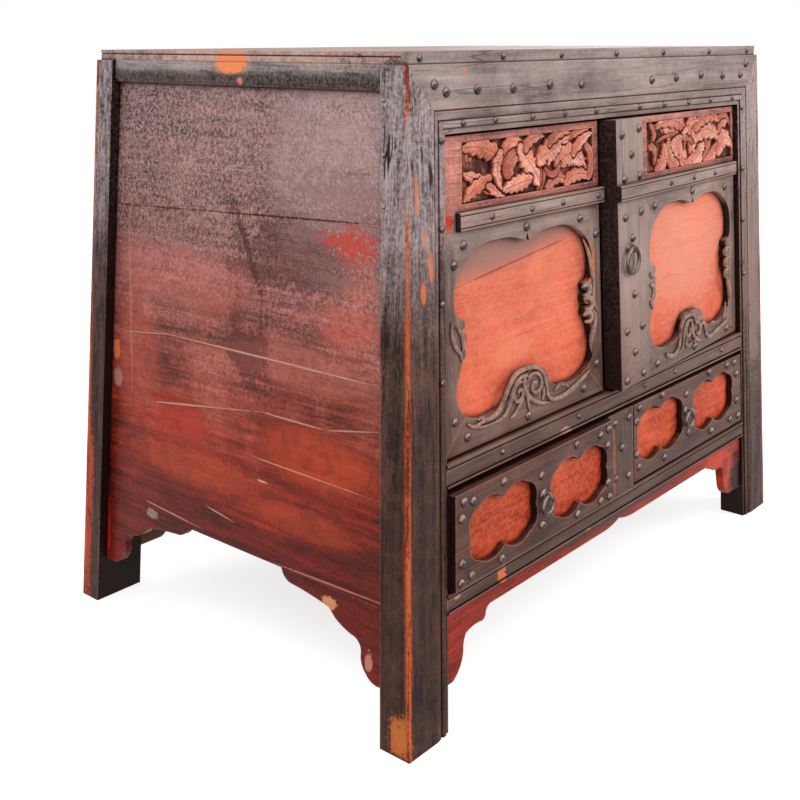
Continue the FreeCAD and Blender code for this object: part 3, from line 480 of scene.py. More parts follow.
@dataclass(frozen=True)
class OldLacquer:
    """Old lacquer on wood, which changes colour with height and is streaked, stained, cracked, dusty and worn; it also
    carries painted sheen towards the top, painted shade in crevices and on chosen faces, and painted highlights along
    edges.

    Stain patches lie under the dusty bloom and marks over it; where outside is true, both are only on faces that look
    outward.
    """

    name: str
    grain: Grain
    heights: tuple[tuple[float, Colour], ...]
    drift: float = 0.26
    worn: Colour = paint(196, 118, 84)
    pale: Colour = paint(186, 156, 146)
    # A pale speckled layer over the upper part: dusty bloom and painted sheen and glints.
    dust_and_sheen: Colour = paint(186, 172, 170)
    dust_and_sheen_from: tuple[float, float] = (0.35, 0.80)
    dust_and_sheen_share: float = 0.45
    mottle: Colour = paint(120, 60, 44)
    mottle_share: float = 0.0
    mottle_scale: float = 55.0
    dust_and_sheen_grain: Grain = Grain.EVEN
    crack: Colour = paint(24, 11, 9)
    # Darkening in crevices and gaps, found by ambient occlusion: painted shade.
    crevice_shade: Colour = paint(26, 10, 8)
    crevice_shade_reach: float = 0.010
    crevice_shade_share: float = 0.85
    # Which faces are painted near black: painted shade.
    shaded_faces: ShadedFaces = ShadedFaces.NONE
    contrast: float = 1.0
    wear: float = 0.5
    # The least share of every edge that shows the pale worn colour: worn edges, and painted highlights along mouldings.
    edge_wear_and_highlight: float = 0.0
    streaks: float = 0.6
    grit: float = 1.0
    cracks: float = 0.5
    roughness: float = 0.42
    sheen: float = 0.16
    relief: float = 0.0007
    shift: Point = (0.0, 0.0, 0.0)
    corner: bool = False
    by_rise: bool = False
    outside: bool = False
    # Patches under the bloom: stain patches, and on the planks one patch of painted sheen.
    stains_and_sheen: tuple[Patch, ...] = ()
    marks: tuple[Patch, ...] = ()

    def material(self) -> bpy.types.Material:
        """Builds the finish.

        Returns:
            The material.
        """
        graph = Graph(self.name)
        along = graph.stretched(self.grain, self.shift)
        broad = graph.noise(graph.place(), BROAD_SCALE, 5.0, 0.62, 0.5)
        streak = graph.noise(along, STREAK_SCALE, 5.0, 0.66)
        fine = graph.noise(along, FINE_SCALE, 3.0, 0.65)
        speck = graph.noise(graph.place(), SPECK_SCALE, 4.0, 0.75)
        level = graph.value(graph.node("ShaderNodeAttribute", {"attribute_name": "rise"}), "Fac") if self.by_rise \
            else graph.across()[2]
        height = level + (broad - 0.5) * self.drift + (streak - 0.5) * self.drift * 0.5
        # Colour by height: on most finishes lighter towards the top as painted sheen; on the carving dark in hollows
        # and pale on crests as painted shade and painted highlights.
        base = graph.ramp(height, list(self.heights))
        tone = (streak - 0.5) * 3.6 * self.streaks + (broad - 0.5) * 2.0
        tone = tone + ((fine - 0.5) * 2.0 + (speck - 0.5) * 2.0) * self.grit
        tone = (1 + tone * self.contrast).most(0.12)
        base = graph.mix(1.0, base, self._grey(graph, tone), "MULTIPLY")
        ragged = speck * 0.35 + streak * 0.30 + broad * 0.35
        seen = graph.outward().step(-0.14, -0.04) if self.outside else 1.0
        # Stain patches, with one patch of painted sheen on the planks.
        for stain in self.stains_and_sheen:
            base = stain.over(graph, base, ragged, seen)
        spots = graph.noise(graph.place(), self.mottle_scale, 5.0, 0.65, 0.6)
        base = graph.mix(spots.step(0.46, 0.58) * self.mottle_share, base, self.mottle)
        # Dusty bloom, which also stands for painted sheen and glints, speckled over the upper part.
        dust_and_sheen_mask = graph.noise(graph.stretched(self.dust_and_sheen_grain, self.shift), DUST_AND_SHEEN_SCALE, 3.0, 0.7) * 0.5 + speck * 0.5
        dust_and_sheen_mask = dust_and_sheen_mask.step(0.42, 0.62) * height.step(*self.dust_and_sheen_from) * self.dust_and_sheen_share
        base = graph.mix(dust_and_sheen_mask, base, self.dust_and_sheen)
        # Marks: wear, scratches, joints and drips, with some patches of painted light and painted shade.
        for mark in self.marks:
            base = mark.over(graph, base, ragged, seen)
        split = abs(graph.noise(along, SPLIT_SCALE, 3.0, 0.5) - 0.5).step(0.010, 0.0)
        split = split * graph.noise(graph.place(), 12.0, 2.0).step(0.48, 0.58) * self.cracks
        base = graph.mix(split, base, self.crack)
        turn, soft = graph.edges(EDGE_REACH)
        crevice = graph.crevice(self.crevice_shade_reach)
        # Rubbed edges: worn wood, and on every edge a share of pale painted highlight.
        worn = (speck * 0.6 + broad * 0.6).step(0.66 - self.wear * 0.30, 0.80).most(self.edge_wear_and_highlight)
        rubbed_and_lit_edges = (turn * 9.0).least(1.0) * worn
        rubbed_and_lit_edges = rubbed_and_lit_edges * crevice.step(0.45, 0.15)
        chips = (speck * 0.5 + graph.noise(along, 24.0, 6.0, 0.7) * 0.6).step(0.87 - 0.17 * self.wear, 0.88)
        shown = rubbed_and_lit_edges.most(chips * self.wear)
        base = graph.mix(shown, base, graph.mix(streak.step(0.44, 0.56), self.worn, self.pale))
        if self.corner:
            base = self._corner(graph, base, speck, streak)
        # Crevices and gaps darkened: painted shade.
        base = graph.mix(crevice.step(0.12, 0.60) * self.crevice_shade_share, base, self.crevice_shade)
        # The chosen faces painted near black: painted shade.
        base = graph.mix(self._painted_shade(graph) * (1.25 - speck * 0.6).least(1.0), base, NEAR_BLACK)
        rough = self.roughness + (speck - 0.5) * 0.5 + shown * 0.2 + (0.5 - streak) * 0.4
        bumps = streak * 0.45 + fine * 0.30 + speck * 0.35 - split * 1.5 - shown * 0.25
        return graph.surface(Base_Color=base, Roughness=rough, Normal=graph.bump(bumps, self.relief, soft),
                             Specular_IOR_Level=self.sheen)

    def _painted_shade(self, graph: Graph) -> Value:
        """How much a face is painted near black as painted shade.

        Args:
            graph: the finish's graph.

        Returns:
            The share, 0 to 1.
        """
        across, _, rise = graph.facing()
        if self.shaded_faces is ShadedFaces.INWARD:
            return graph.outward().step(-0.06, -0.16)
        if self.shaded_faces is ShadedFaces.SIDEWAYS:
            return abs(across).step(0.6, 0.8)
        if self.shaded_faces is ShadedFaces.ENDS:
            return abs(across).most(abs(rise)).step(0.6, 0.8)
        return across * 0.0

    def _corner(self, graph: Graph, base: bpy.types.NodeSocket, speck: Value, streak: Value) -> bpy.types.NodeSocket:
        """Rubs the outer corner of a splayed post down to the orange wood.

        Args:
            graph: the finish's graph.
            base: the colour so far.
            speck: a fine pattern.
            streak: a pattern along the grain.

        Returns:
            The colour with the worn corner.
        """
        x, y, z = graph.across()
        aside = abs(x) - FOOT_SIDE + z * SIDE_SLOPE
        back = abs(y) + FOOT_FRONT + z * FRONT_SLOPE
        away = (aside * aside + back * back) ** 0.5
        share = (away + (speck - 0.5) * 0.010 + (streak - 0.5) * 0.034).step(0.0080, 0.0032)
        colour = graph.mix((streak * 0.7 + speck * 0.3).step(0.42, 0.54), paint(110, 36, 18), paint(228, 108, 56))
        return graph.mix(share * 0.9, base, colour)

    @staticmethod
    def _grey(graph: Graph, tone: Value) -> bpy.types.NodeSocket:
        """A grey of that level, as a colour."""
        return graph.node("ShaderNodeCombineColor", None, {0: tone, 1: tone, 2: tone}).outputs[0]


@dataclass(frozen=True)
class Iron:
    """Forged iron, dark, with a little rust, and a painted highlight on faces that look up and to the left."""

    name: str
    body: Colour = paint(66, 52, 48)
    rust: Colour = paint(104, 56, 38)
    # The colour of the painted highlight.
    light: Colour = paint(206, 182, 174)
    roughness: float = 0.36
    spot_scale: float = 240.0
    broad_scale: float = 45.0

    def material(self) -> bpy.types.Material:
        """Builds the finish.

        Returns:
            The material.
        """
        graph = Graph(self.name)
        spots = graph.noise(graph.place(), self.spot_scale, 4.0, 0.7)
        broad = graph.noise(graph.place(), self.broad_scale, 3.0, 0.6)
        rusty = (spots * 0.5 + broad * 0.5).step(0.50, 0.66)
        colour = graph.mix(rusty * 0.75, self.body, self.rust)
        across, _, rise = graph.facing()
        # Faces that look up and to the left get a painted highlight.
        lit = (rise * 0.8 - across * 0.6 + (spots - 0.5) * 1.8).step(0.30, 0.80)
        colour = graph.mix(lit * 0.62, colour, self.light)
        return graph.surface(Base_Color=colour, Metallic=0.55 - rusty * 0.35,
                             Roughness=self.roughness + spots * 0.15 + rusty * 0.25,
                             Normal=graph.bump(spots * 0.6 + broad * 0.4, 0.0006))


@dataclass(frozen=True)
class RawWood:
    """Bare old wood where nobody looks: boxes, backs and undersides."""

    name: str
    grain: Grain
    light: Colour = paint(158, 118, 84)
    dark: Colour = paint(92, 62, 44)
    ring_scale: float = 60.0
    pore_scale: float = 520.0
    stain_scale: float = 7.0

    def material(self) -> bpy.types.Material:
        """Builds the finish.

        Returns:
            The material.
        """
        graph = Graph(self.name)
        along = graph.stretched(self.grain)
        rings = graph.noise(along, self.ring_scale, 6.0, 0.6, 0.8)
        pores = graph.noise(along, self.pore_scale, 2.0, 0.5)
        stain = graph.noise(graph.place(), self.stain_scale, 4.0, 0.6)
        shade = (rings * 0.7 + pores * 0.3 + (stain - 0.5) * 0.5).step(0.25, 0.75)
        turn, soft = graph.edges(0.002)
        colour = graph.mix(shade, self.dark, self.light)
        colour = graph.mix((turn * 4.0).least(0.5), colour, self.dark)
        return graph.surface(Base_Color=colour, Roughness=0.62 + pores * 0.25,
                             Normal=graph.bump(rings * 0.5 + pores * 0.5, 0.0007, soft), Specular_IOR_Level=0.25)


# Colour by height for each finish. The frame, post, door, rail and plank ramps turn lighter and greyer towards the top:
# painted sheen. The board and drawer ramps grow lighter upwards: painted light.
FRAME_HEIGHTS = ((0.0, paint(60, 34, 25)), (0.24, paint(88, 60, 51)), (0.50, paint(104, 78, 69)),
                 (0.68, paint(132, 108, 100)), (0.84, paint(156, 138, 133)))
POST_HEIGHTS = ((0.0, paint(52, 27, 19)), (0.30, paint(56, 32, 25)), (0.48, paint(80, 54, 46)),
                (0.64, paint(112, 92, 88)), (0.84, paint(132, 113, 110)))
DOOR_HEIGHTS = ((0.18, paint(80, 46, 36)), (0.30, paint(96, 62, 53)), (0.40, paint(112, 82, 73)),
                (0.55, paint(134, 110, 102)), (0.75, paint(150, 130, 122)))
# On the side rails the band from 0.786 to 0.803 is dark: painted shadow under the rail's upper edge; above it the grey
# is painted sheen.
RAIL_HEIGHTS = ((0.786, paint(96, 28, 18)), (0.793, paint(40, 20, 16)), (0.803, paint(46, 32, 28)),
                (0.810, paint(128, 116, 112)), (0.83, paint(150, 138, 134)))
TOP_HEIGHTS = ((0.80, paint(172, 138, 128)), (0.84, paint(172, 140, 131)))
PLANK_HEIGHTS = ((0.05, paint(106, 24, 11)), (0.18, paint(110, 22, 9)), (0.30, paint(136, 40, 22)),
                 (0.42, paint(146, 66, 52)), (0.52, paint(152, 78, 66)), (0.60, paint(120, 68, 62)),
                 (0.80, paint(124, 88, 84)))
BOARD_HEIGHTS = ((0.36, paint(226, 98, 66)), (0.50, paint(230, 114, 84)), (0.66, paint(232, 128, 100)))
DRAWER_HEIGHTS = ((0.16, paint(164, 52, 30)), (0.24, paint(184, 68, 42)), (0.32, paint(204, 88, 60)))
APRON_HEIGHTS = ((0.05, paint(150, 44, 28)), (0.18, paint(146, 42, 28)))
# The carving's colour by how far it rises: dark in the hollows as painted shade, pale on the crests as painted
# highlights.
CARVED_RISE = ((0.08, paint(54, 12, 7)), (0.30, paint(104, 34, 22)), (0.54, paint(168, 82, 64)),
               (0.76, paint(212, 130, 110)), (1.0, paint(240, 176, 156)))
PLAQUE_HEIGHTS = ((0.60, paint(150, 84, 70)), (0.75, paint(176, 108, 94)))
BAND_HEIGHTS = ((0.30, paint(126, 98, 86)), (0.60, paint(140, 114, 104)))

ORANGE = paint(228, 118, 66)
PALE_ORANGE = paint(232, 158, 112)
BARE_ORANGE = paint(244, 142, 92)
FLAKED = paint(206, 150, 136)
DARK_JOINT = paint(78, 18, 12)
PALE_JOINT = paint(208, 160, 146)
PALE_SCRATCH = paint(206, 146, 130)

POST_MARKS = (
    FRONT.patch(-0.458, 0.672, 0.004, 0.024, ORANGE, 0.9, ragged=4.0),
    FRONT.patch(-0.444, 0.625, 0.005, 0.018, ORANGE, 0.8, ragged=4.0),
    FRONT.patch(-0.436, 0.590, 0.004, 0.018, ORANGE, 0.8, ragged=4.0),
    FRONT.patch(-0.452, 0.560, 0.005, 0.012, ORANGE, 0.7),
    Patch((-0.512, -0.316, 0.022), (0.012, 0.022, 0.034), paint(204, 112, 54), 0.9),
    Patch((-0.500, 0.322, 0.170), (0.05, 0.016, 0.200), paint(196, 66, 36), 0.85),
    # A near-black stripe down the gap beside the right door's hinge side: painted shade.
    FRONT.line((0.388, 0.730), (0.401, 0.300), 0.0060, NEAR_BLACK, 0.9),
    FRONT.patch(0.391, 0.738, 0.005, 0.010, ORANGE, 0.7),
    FRONT.patch(0.392, 0.666, 0.005, 0.014, ORANGE, 0.6),
    FRONT.patch(0.397, 0.364, 0.005, 0.010, ORANGE, 0.6),
    # A pale patch over the right front post: painted light.
    FRONT.patch(0.460, 0.560, 0.060, 0.300, paint(190, 160, 150), 0.36, ragged=2.0),
)
DIVIDER_MARKS = (FRONT.patch(-0.024, 0.21, 0.007, 0.075, paint(176, 88, 50), 0.7),)
RAIL_MARKS = (
    FRONT.patch(-0.151, 0.317, 0.014, 0.004, FLAKED, 0.8),
    FRONT.patch(-0.310, 0.164, 0.008, 0.012, ORANGE, 0.9, ragged=4.0),
    FRONT.patch(-0.404, 0.169, 0.008, 0.003, FLAKED, 0.8),
    FRONT.patch(-0.098, 0.154, 0.007, 0.004, ORANGE, 0.9),
    FRONT.patch(-0.359, 0.812, 0.003, 0.003, ORANGE, 0.9),
)
TOP_MARKS = (Patch((-0.47, 0.010, 0.8215), (0.07, 0.036, 0.016), BARE_ORANGE),)
SIDE_RAIL_MARKS = (
    Patch((-0.47, 0.010, 0.8145), (0.07, 0.033, 0.009), BARE_ORANGE),
    Patch((-0.47, -0.008, 0.796), (0.07, 0.006, 0.005), paint(232, 130, 96), 0.9),
)
DOOR_RAIL_MARKS = (
    FRONT.patch(-0.388, 0.636, 0.013, 0.016, paint(206, 42, 26), 0.95),
    FRONT.line((-0.2036, 0.381), (-0.2044, 0.358), 0.0009, paint(222, 130, 100)),
)
STILE_MARKS = (
    FRONT.patch(-0.068, 0.535, 0.012, 0.035, ORANGE, 0.8),
    # A pale patch over the meeting stile: painted light.
    FRONT.patch(0.020, 0.560, 0.070, 0.220, paint(190, 162, 152), 0.28, ragged=2.0),
)
BOARD_MARKS = (
    FRONT.patch(-0.235, 0.624, 0.30, 0.066, paint(168, 120, 108), 1.0, ragged=0.25, turn=-0.11),
    FRONT.line((-0.370, 0.549), (-0.098, 0.580), 0.0012, paint(148, 62, 46), 0.8),
    # A lighter patch on the right door's board: painted light.
    FRONT.patch(0.222, 0.520, 0.15, 0.100, paint(238, 158, 134), 0.5),
    FRONT.patch(0.215, 0.600, 0.05, 0.010, paint(176, 92, 76), 0.6),
    FRONT.patch(-0.250, 0.445, 0.05, 0.020, paint(250, 150, 116), 0.4),
)
APRON_MARKS = (
    FRONT.patch(-0.01, 0.162, 0.30, 0.026, paint(84, 56, 50), 0.95, ragged=0.4),
    FRONT.patch(0.335, 0.105, 0.060, 0.042, paint(204, 70, 40), 0.85),
    FRONT.patch(0.365, 0.110, 0.012, 0.020, paint(120, 36, 22), 0.7),
    # A near-black patch on the apron's right end, standing for the post's inner face in shade: painted shade.
    FRONT.patch(0.416, 0.078, 0.032, 0.048, NEAR_BLACK, 0.95),
)
PLANK_STAINS_AND_SHEEN = (
    SIDE.patch(0.120, 0.320, 0.110, 0.036, paint(186, 50, 26), 0.60),
    SIDE.patch(-0.205, 0.510, 0.042, 0.036, paint(204, 78, 54), 0.65, ragged=4.0),
    SIDE.patch(-0.150, 0.325, 0.100, 0.036, paint(186, 66, 34), 0.68),
    # A pale greyish patch high near the front post: painted sheen.
    SIDE.patch(-0.170, 0.720, 0.110, 0.095, paint(188, 158, 156), 0.40),
    SIDE.patch(0.115, 0.530, 0.130, 0.040, paint(190, 96, 82), 0.60),
    SIDE.patch(-0.196, 0.608, 0.026, 0.018, paint(196, 70, 48), 0.68),
    SIDE.patch(-0.215, 0.560, 0.030, 0.040, paint(196, 84, 62), 0.52),
    SIDE.patch(0.080, 0.262, 0.140, 0.026, paint(206, 80, 44), 0.48),
    SIDE.patch(-0.110, 0.238, 0.100, 0.020, paint(206, 80, 46), 0.42),
    SIDE.patch(-0.120, 0.440, 0.120, 0.024, paint(176, 92, 78), 0.75),
    SIDE.patch(0.215, 0.400, 0.040, 0.100, paint(184, 72, 54), 0.52),
)
PLANK_MARKS = (
    SIDE.patch(-0.100, 0.578, 0.115, 0.044, paint(84, 44, 42), 0.5, ragged=3.0),
    SIDE.patch(-0.015, 0.430, 0.040, 0.050, paint(74, 28, 24), 0.5, ragged=4.0),
    SIDE.patch(0.265, 0.398, 0.008, 0.014, ORANGE, 0.8),
    SIDE.patch(0.262, 0.358, 0.010, 0.014, paint(178, 134, 122), 0.7),
    SIDE.line((0.236, 0.622), (0.228, 0.330), 0.0022, paint(190, 130, 118), 0.4),
    SIDE.line((0.010, 0.640), (-0.042, 0.528), 0.006, paint(70, 34, 30), 0.7),
    SIDE.line((-0.003, 0.305), (-0.255, 0.302), 0.0012, paint(206, 140, 120), 0.75),
    SIDE.line((-0.094, 0.170), (-0.277, 0.175), 0.0012, paint(200, 120, 100), 0.75),
    SIDE.line((0.192, 0.183), (0.078, 0.176), 0.0011, PALE_SCRATCH, 0.75),
    SIDE.line((0.057, 0.211), (0.005, 0.204), 0.0011, PALE_SCRATCH, 0.75),
    SIDE.line((-0.039, 0.275), (-0.066, 0.275), 0.0022, paint(222, 170, 156), 0.8),
    SIDE.patch(0.180, 0.167, 0.012, 0.006, paint(168, 138, 130), 0.8),
    SIDE.patch(0.291, 0.112, 0.009, 0.060, paint(216, 48, 28), 0.8),
    SIDE.patch(-0.181, 0.147, 0.013, 0.008, PALE_ORANGE, 0.8),
    SIDE.patch(-0.250, 0.093, 0.006, 0.014, paint(226, 146, 126), 0.7),
    # Pale broken flecks high near the front post: painted glints.
    SIDE.patch(-0.195, 0.690, 0.055, 0.090, paint(214, 184, 182), 0.30, ragged=9.0),
    SIDE.patch(-0.195, 0.665, 0.050, 0.070, paint(112, 52, 50), 0.4, ragged=9.0),
    SIDE.patch(-0.205, 0.605, 0.038, 0.016, paint(200, 60, 38), 0.7, ragged=7.0),
    SIDE.line((0.276, 0.614), (-0.237, 0.635), 0.0016, DARK_JOINT, 0.95),
    SIDE.line((0.240, 0.430), (0.143, 0.441), 0.0009, PALE_JOINT, 0.6),
    SIDE.line((0.143, 0.441), (-0.246, 0.443), 0.0012, PALE_JOINT, 0.8),
    SIDE.line((0.216, 0.331), (-0.050, 0.369), 0.0012, PALE_JOINT, 0.7),
    SIDE.line((-0.050, 0.369), (-0.165, 0.370), 0.0012, PALE_JOINT, 0.7),
    SIDE.line((-0.165, 0.370), (-0.248, 0.386), 0.0010, PALE_JOINT, 0.6),
)


class Finishes:
    """Every finish on the cabinet, built once."""

    def __init__(self) -> None:
        """Builds the materials."""
        self.posts = OldLacquer(
            "post_lacquer", Grain.UPRIGHT, POST_HEIGHTS, cracks=1.0, wear=0.6, corner=True, shaded_faces=ShadedFaces.INWARD,
            dust_and_sheen=paint(194, 188, 194), dust_and_sheen_from=(0.42, 0.76), dust_and_sheen_share=0.58, dust_and_sheen_grain=Grain.UPRIGHT,
            streaks=0.95, contrast=1.3, edge_wear_and_highlight=0.3, sheen=0.12, mottle=paint(120, 78, 58), mottle_share=0.15,
            marks=POST_MARKS).material()
        self.frame_upright = OldLacquer(
            "frame_lacquer_upright", Grain.UPRIGHT, FRAME_HEIGHTS, cracks=0.7, wear=0.6, contrast=0.8, grit=0.5,
            dust_and_sheen_share=0.15, edge_wear_and_highlight=0.4, marks=DIVIDER_MARKS).material()
        self.frame_along = OldLacquer(
            "frame_lacquer_along", Grain.ALONG, FRAME_HEIGHTS, cracks=0.5, wear=0.65, edge_wear_and_highlight=0.5, contrast=0.8,
            shift=(0.3, 0.1, 0.2), grit=0.4, dust_and_sheen_share=0.12, marks=RAIL_MARKS).material()
        self.top = OldLacquer(
            "top_lacquer", Grain.ALONG, TOP_HEIGHTS, worn=paint(226, 132, 86), wear=0.9, cracks=0.9, drift=0.02,
            dust_and_sheen_share=0.35, marks=TOP_MARKS).material()
        self.frame_deep = OldLacquer(
            "frame_lacquer_deep", Grain.DEEP, RAIL_HEIGHTS, drift=0.012, cracks=0.9, wear=0.5, contrast=1.2,
            dust_and_sheen_share=0.25, marks=SIDE_RAIL_MARKS).material()
        self.door_along = OldLacquer(
            "door_lacquer_along", Grain.ALONG, DOOR_HEIGHTS, cracks=0.5, wear=0.7, shift=(0.7, 0.0, 0.4),
            shaded_faces=ShadedFaces.SIDEWAYS, contrast=0.8, grit=0.4, edge_wear_and_highlight=0.6, dust_and_sheen_share=0.10,
            marks=DOOR_RAIL_MARKS).material()
        self.door_upright = OldLacquer(
            "door_lacquer_upright", Grain.UPRIGHT, DOOR_HEIGHTS, cracks=0.6, wear=0.7, shift=(0.2, 0.5, 0.0),
            shaded_faces=ShadedFaces.SIDEWAYS, contrast=0.8, grit=0.4, edge_wear_and_highlight=0.5, dust_and_sheen_share=0.10,
            marks=STILE_MARKS).material()
        self.planks = OldLacquer(
            "side_lacquer", Grain.DEEP, PLANK_HEIGHTS, worn=paint(206, 96, 62), pale=paint(206, 150, 138),
            dust_and_sheen=paint(204, 178, 176), dust_and_sheen_from=(0.32, 0.72), dust_and_sheen_share=0.66, mottle=paint(82, 36, 30),
            mottle_share=0.28, cracks=0.25, streaks=0.75, contrast=1.1, roughness=0.38, sheen=0.14,
            crevice_shade_share=0.7, outside=True, stains_and_sheen=PLANK_STAINS_AND_SHEEN, marks=PLANK_MARKS).material()
        self.boards = OldLacquer(
            "red_lacquer", Grain.ALONG, BOARD_HEIGHTS, worn=paint(198, 74, 46), pale=paint(240, 160, 130),
            wear=0.45, cracks=0.2, streaks=0.3, roughness=0.5, contrast=0.42, grit=0.6, dust_and_sheen_share=0.0,
            mottle=paint(226, 142, 118), mottle_share=0.35, mottle_scale=90.0, sheen=0.10, crevice_shade_share=0.75,
            outside=True, marks=BOARD_MARKS).material()
        self.drawer_boards = OldLacquer(
            "red_lacquer_drawers", Grain.ALONG, DRAWER_HEIGHTS, worn=paint(232, 132, 96), wear=0.7, cracks=0.1,
            streaks=0.25, roughness=0.5, shaded_faces=ShadedFaces.ENDS, dust_and_sheen_share=0.0, sheen=0.10, contrast=0.8, grit=0.9,
            mottle=paint(222, 112, 70), mottle_share=0.4, mottle_scale=130.0, crevice_shade=paint(110, 16, 8)).material()
        self.apron = OldLacquer(
            "red_lacquer_apron", Grain.ALONG, APRON_HEIGHTS, worn=paint(226, 130, 92), wear=0.6, cracks=0.4,
            roughness=0.45, dust_and_sheen_share=0.0, sheen=0.12, marks=APRON_MARKS).material()
        self.carving = OldLacquer(
            "carved_wood", Grain.EVEN, CARVED_RISE, drift=0.10, worn=paint(226, 140, 104),
            pale=paint(240, 186, 168), wear=0.4, cracks=0.0, streaks=0.4, roughness=0.5, contrast=0.7,
            relief=0.0003, dust_and_sheen_share=0.0, crevice_shade=paint(58, 14, 8), crevice_shade_reach=0.006, mottle=paint(214, 120, 80),
            mottle_share=0.35, by_rise=True).material()
        self.plaque = OldLacquer(
            "plaque_lacquer", Grain.ALONG, PLAQUE_HEIGHTS, worn=paint(224, 106, 66), pale=paint(214, 150, 132),
            wear=0.9, cracks=0.3, contrast=1.1, dust_and_sheen_share=0.15).material()
        self.bands = OldLacquer(
            "band_lacquer", Grain.EVEN, BAND_HEIGHTS, worn=paint(206, 142, 104), wear=1.0, cracks=0.0,
            streaks=0.3, roughness=0.4, dust_and_sheen_from=(0.2, 0.5), dust_and_sheen_share=0.3, mottle=paint(192, 142, 104),
            mottle_share=0.5, crevice_shade_reach=0.005, crevice_shade_share=1.0).material()
        self.raw_along, self.raw_deep, self.raw_upright = (
            RawWood(f"raw_wood_{grain.name.lower()}", grain).material()
            for grain in (Grain.ALONG, Grain.DEEP, Grain.UPRIGHT))
        self.iron = Iron("iron").material()


def dress(node: str, material: bpy.types.Material) -> None:
    """Gives a CAD node its finish.

    Args:
        node: the node's name.
        material: the finish.
    """
    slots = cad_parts[node].material_slots
    if not slots:
        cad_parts[node].data.materials.append(material)
    for slot in slots:
        slot.material = material


def deselect() -> None:
    """Leaves nothing selected or active."""
    bpy.ops.object.select_all(action="DESELECT")
    bpy.context.view_layer.objects.active = None


def pick(piece: bpy.types.Object) -> None:
    """Selects one piece and makes it active.

    Args:
        piece: the piece.
    """
    deselect()
    piece.select_set(True)
    bpy.context.view_layer.objects.active = piece


MERGE_GAP = 0.00002


def copy_of_node(node: str, name: str) -> bpy.types.Object:
    """Copies a CAD node as a new piece with its points merged.

    Args:
        node: the node's name.
        name: the new piece's name.

    Returns:
        The piece.
    """
    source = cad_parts[node]
    piece = bpy.data.objects.new(name, source.data.copy())
    bpy.context.scene.collection.objects.link(piece)
    pick(piece)
    bpy.ops.object.mode_set(mode="EDIT")
    bpy.ops.mesh.select_all(action="SELECT")
    bpy.ops.mesh.remove_doubles(threshold=MERGE_GAP)
    bpy.ops.object.mode_set(mode="OBJECT")
    return piece


@dataclass
class ForgedIronwork:
    """Nail heads, rings and other small ironwork, smoothed from the CAD's faceted ones."""

    node: str
    body: str

    def build(self, finishes: Finishes) -> None:
        """Smooths a copy of the node and dresses it.

        Args:
            finishes: the cabinet's finishes.
        """
        piece = copy_of_node(self.node, self.node + "_forged")
        bpy.ops.object.shade_smooth()
        piece.data.materials.clear()
        piece.data.materials.append(finishes.iron)
        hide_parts(self.node)
        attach(piece, self.body)


def front_plane() -> Matrix:
    """Turns across, up the leaning front and out of it into the cabinet's X, Y and Z."""
    sine, cosine = math.sin(FRONT_LEAN), math.cos(FRONT_LEAN)
    return Matrix(((1.0, 0.0, 0.0, 0.0), (0.0, sine, -cosine, FOOT_FRONT), (0.0, cosine, sine, 0.0),
                   (0.0, 0.0, 0.0, 1.0)))


def door_plane(side: str) -> Matrix:
    """The same for a door's own face, which on the right stands ajar.

    Args:
        side: left or right.

    Returns:
        The matrix.
    """
    if side == "left":
        return front_plane()
    swing = Matrix.Translation(RIGHT_HINGE) @ Matrix.Rotation(AJAR, 4, RIGHT_HINGE_AXIS)
    return swing @ Matrix.Translation(-RIGHT_HINGE) @ front_plane()


def put(piece: bpy.types.Object, plane: Matrix) -> None:
    """Puts a piece that was made flat in its place on a leaning plane.

    Args:
        piece: the piece.
        plane: where it goes.
    """
    pick(piece)
    piece.matrix_world = plane @ piece.matrix_world
    bpy.ops.object.transform_apply(location=True, rotation=True, scale=True)


PIXELS_PER_METRE = 3032.0
TOP_PIXEL = 30
TOP = 0.750
MILLIMETRE = 0.001


@dataclass(frozen=True)
class DoorView:
    """A flattened and enlarged view of a door, in whose pixels the carving was read."""

    edge_pixel: int
    edge: float
    stretch: float
    field_left: int
    field_right: int
    field_foot: int
    field_head: int

    def metres(self, across: int, down: int) -> tuple[float, float]:
        """Turns a pixel into metres across and up the door's face."""
        return (self.edge + (across - self.edge_pixel) * self.stretch / PIXELS_PER_METRE,
                TOP - (down - TOP_PIXEL) / PIXELS_PER_METRE)

    def share(self, pixel: Pixel) -> np.ndarray:
        """Turns a pixel into shares of the carved field, from its left end and its foot."""
        return np.array([(pixel[0] - self.field_left) / (self.field_right - self.field_left),
                         (self.field_foot - pixel[1]) / (self.field_foot - self.field_head)])


@dataclass(frozen=True)
class Leaf:
    """A carved leaf: its rib's base, bend and tip and half its width in pixels, its lobes, and its rise in mm."""

    base: Pixel
    bend: Pixel
    tip: Pixel
    half: int
    lobes: int
    rise: float


# A carved band: the pixels across and down of each of its points, and half its width there in mm.
Strand = tuple[tuple[int, int, float], ...]


@dataclass(frozen=True)
class DoorCarving:
    """What is carved on a door, with its field's left end, right end and height at the foot and at the head."""

    view: DoorView
    leaves: tuple[Leaf, ...]
    foot: Point
    head: Point
    bands: dict[str, tuple[Strand, ...]]


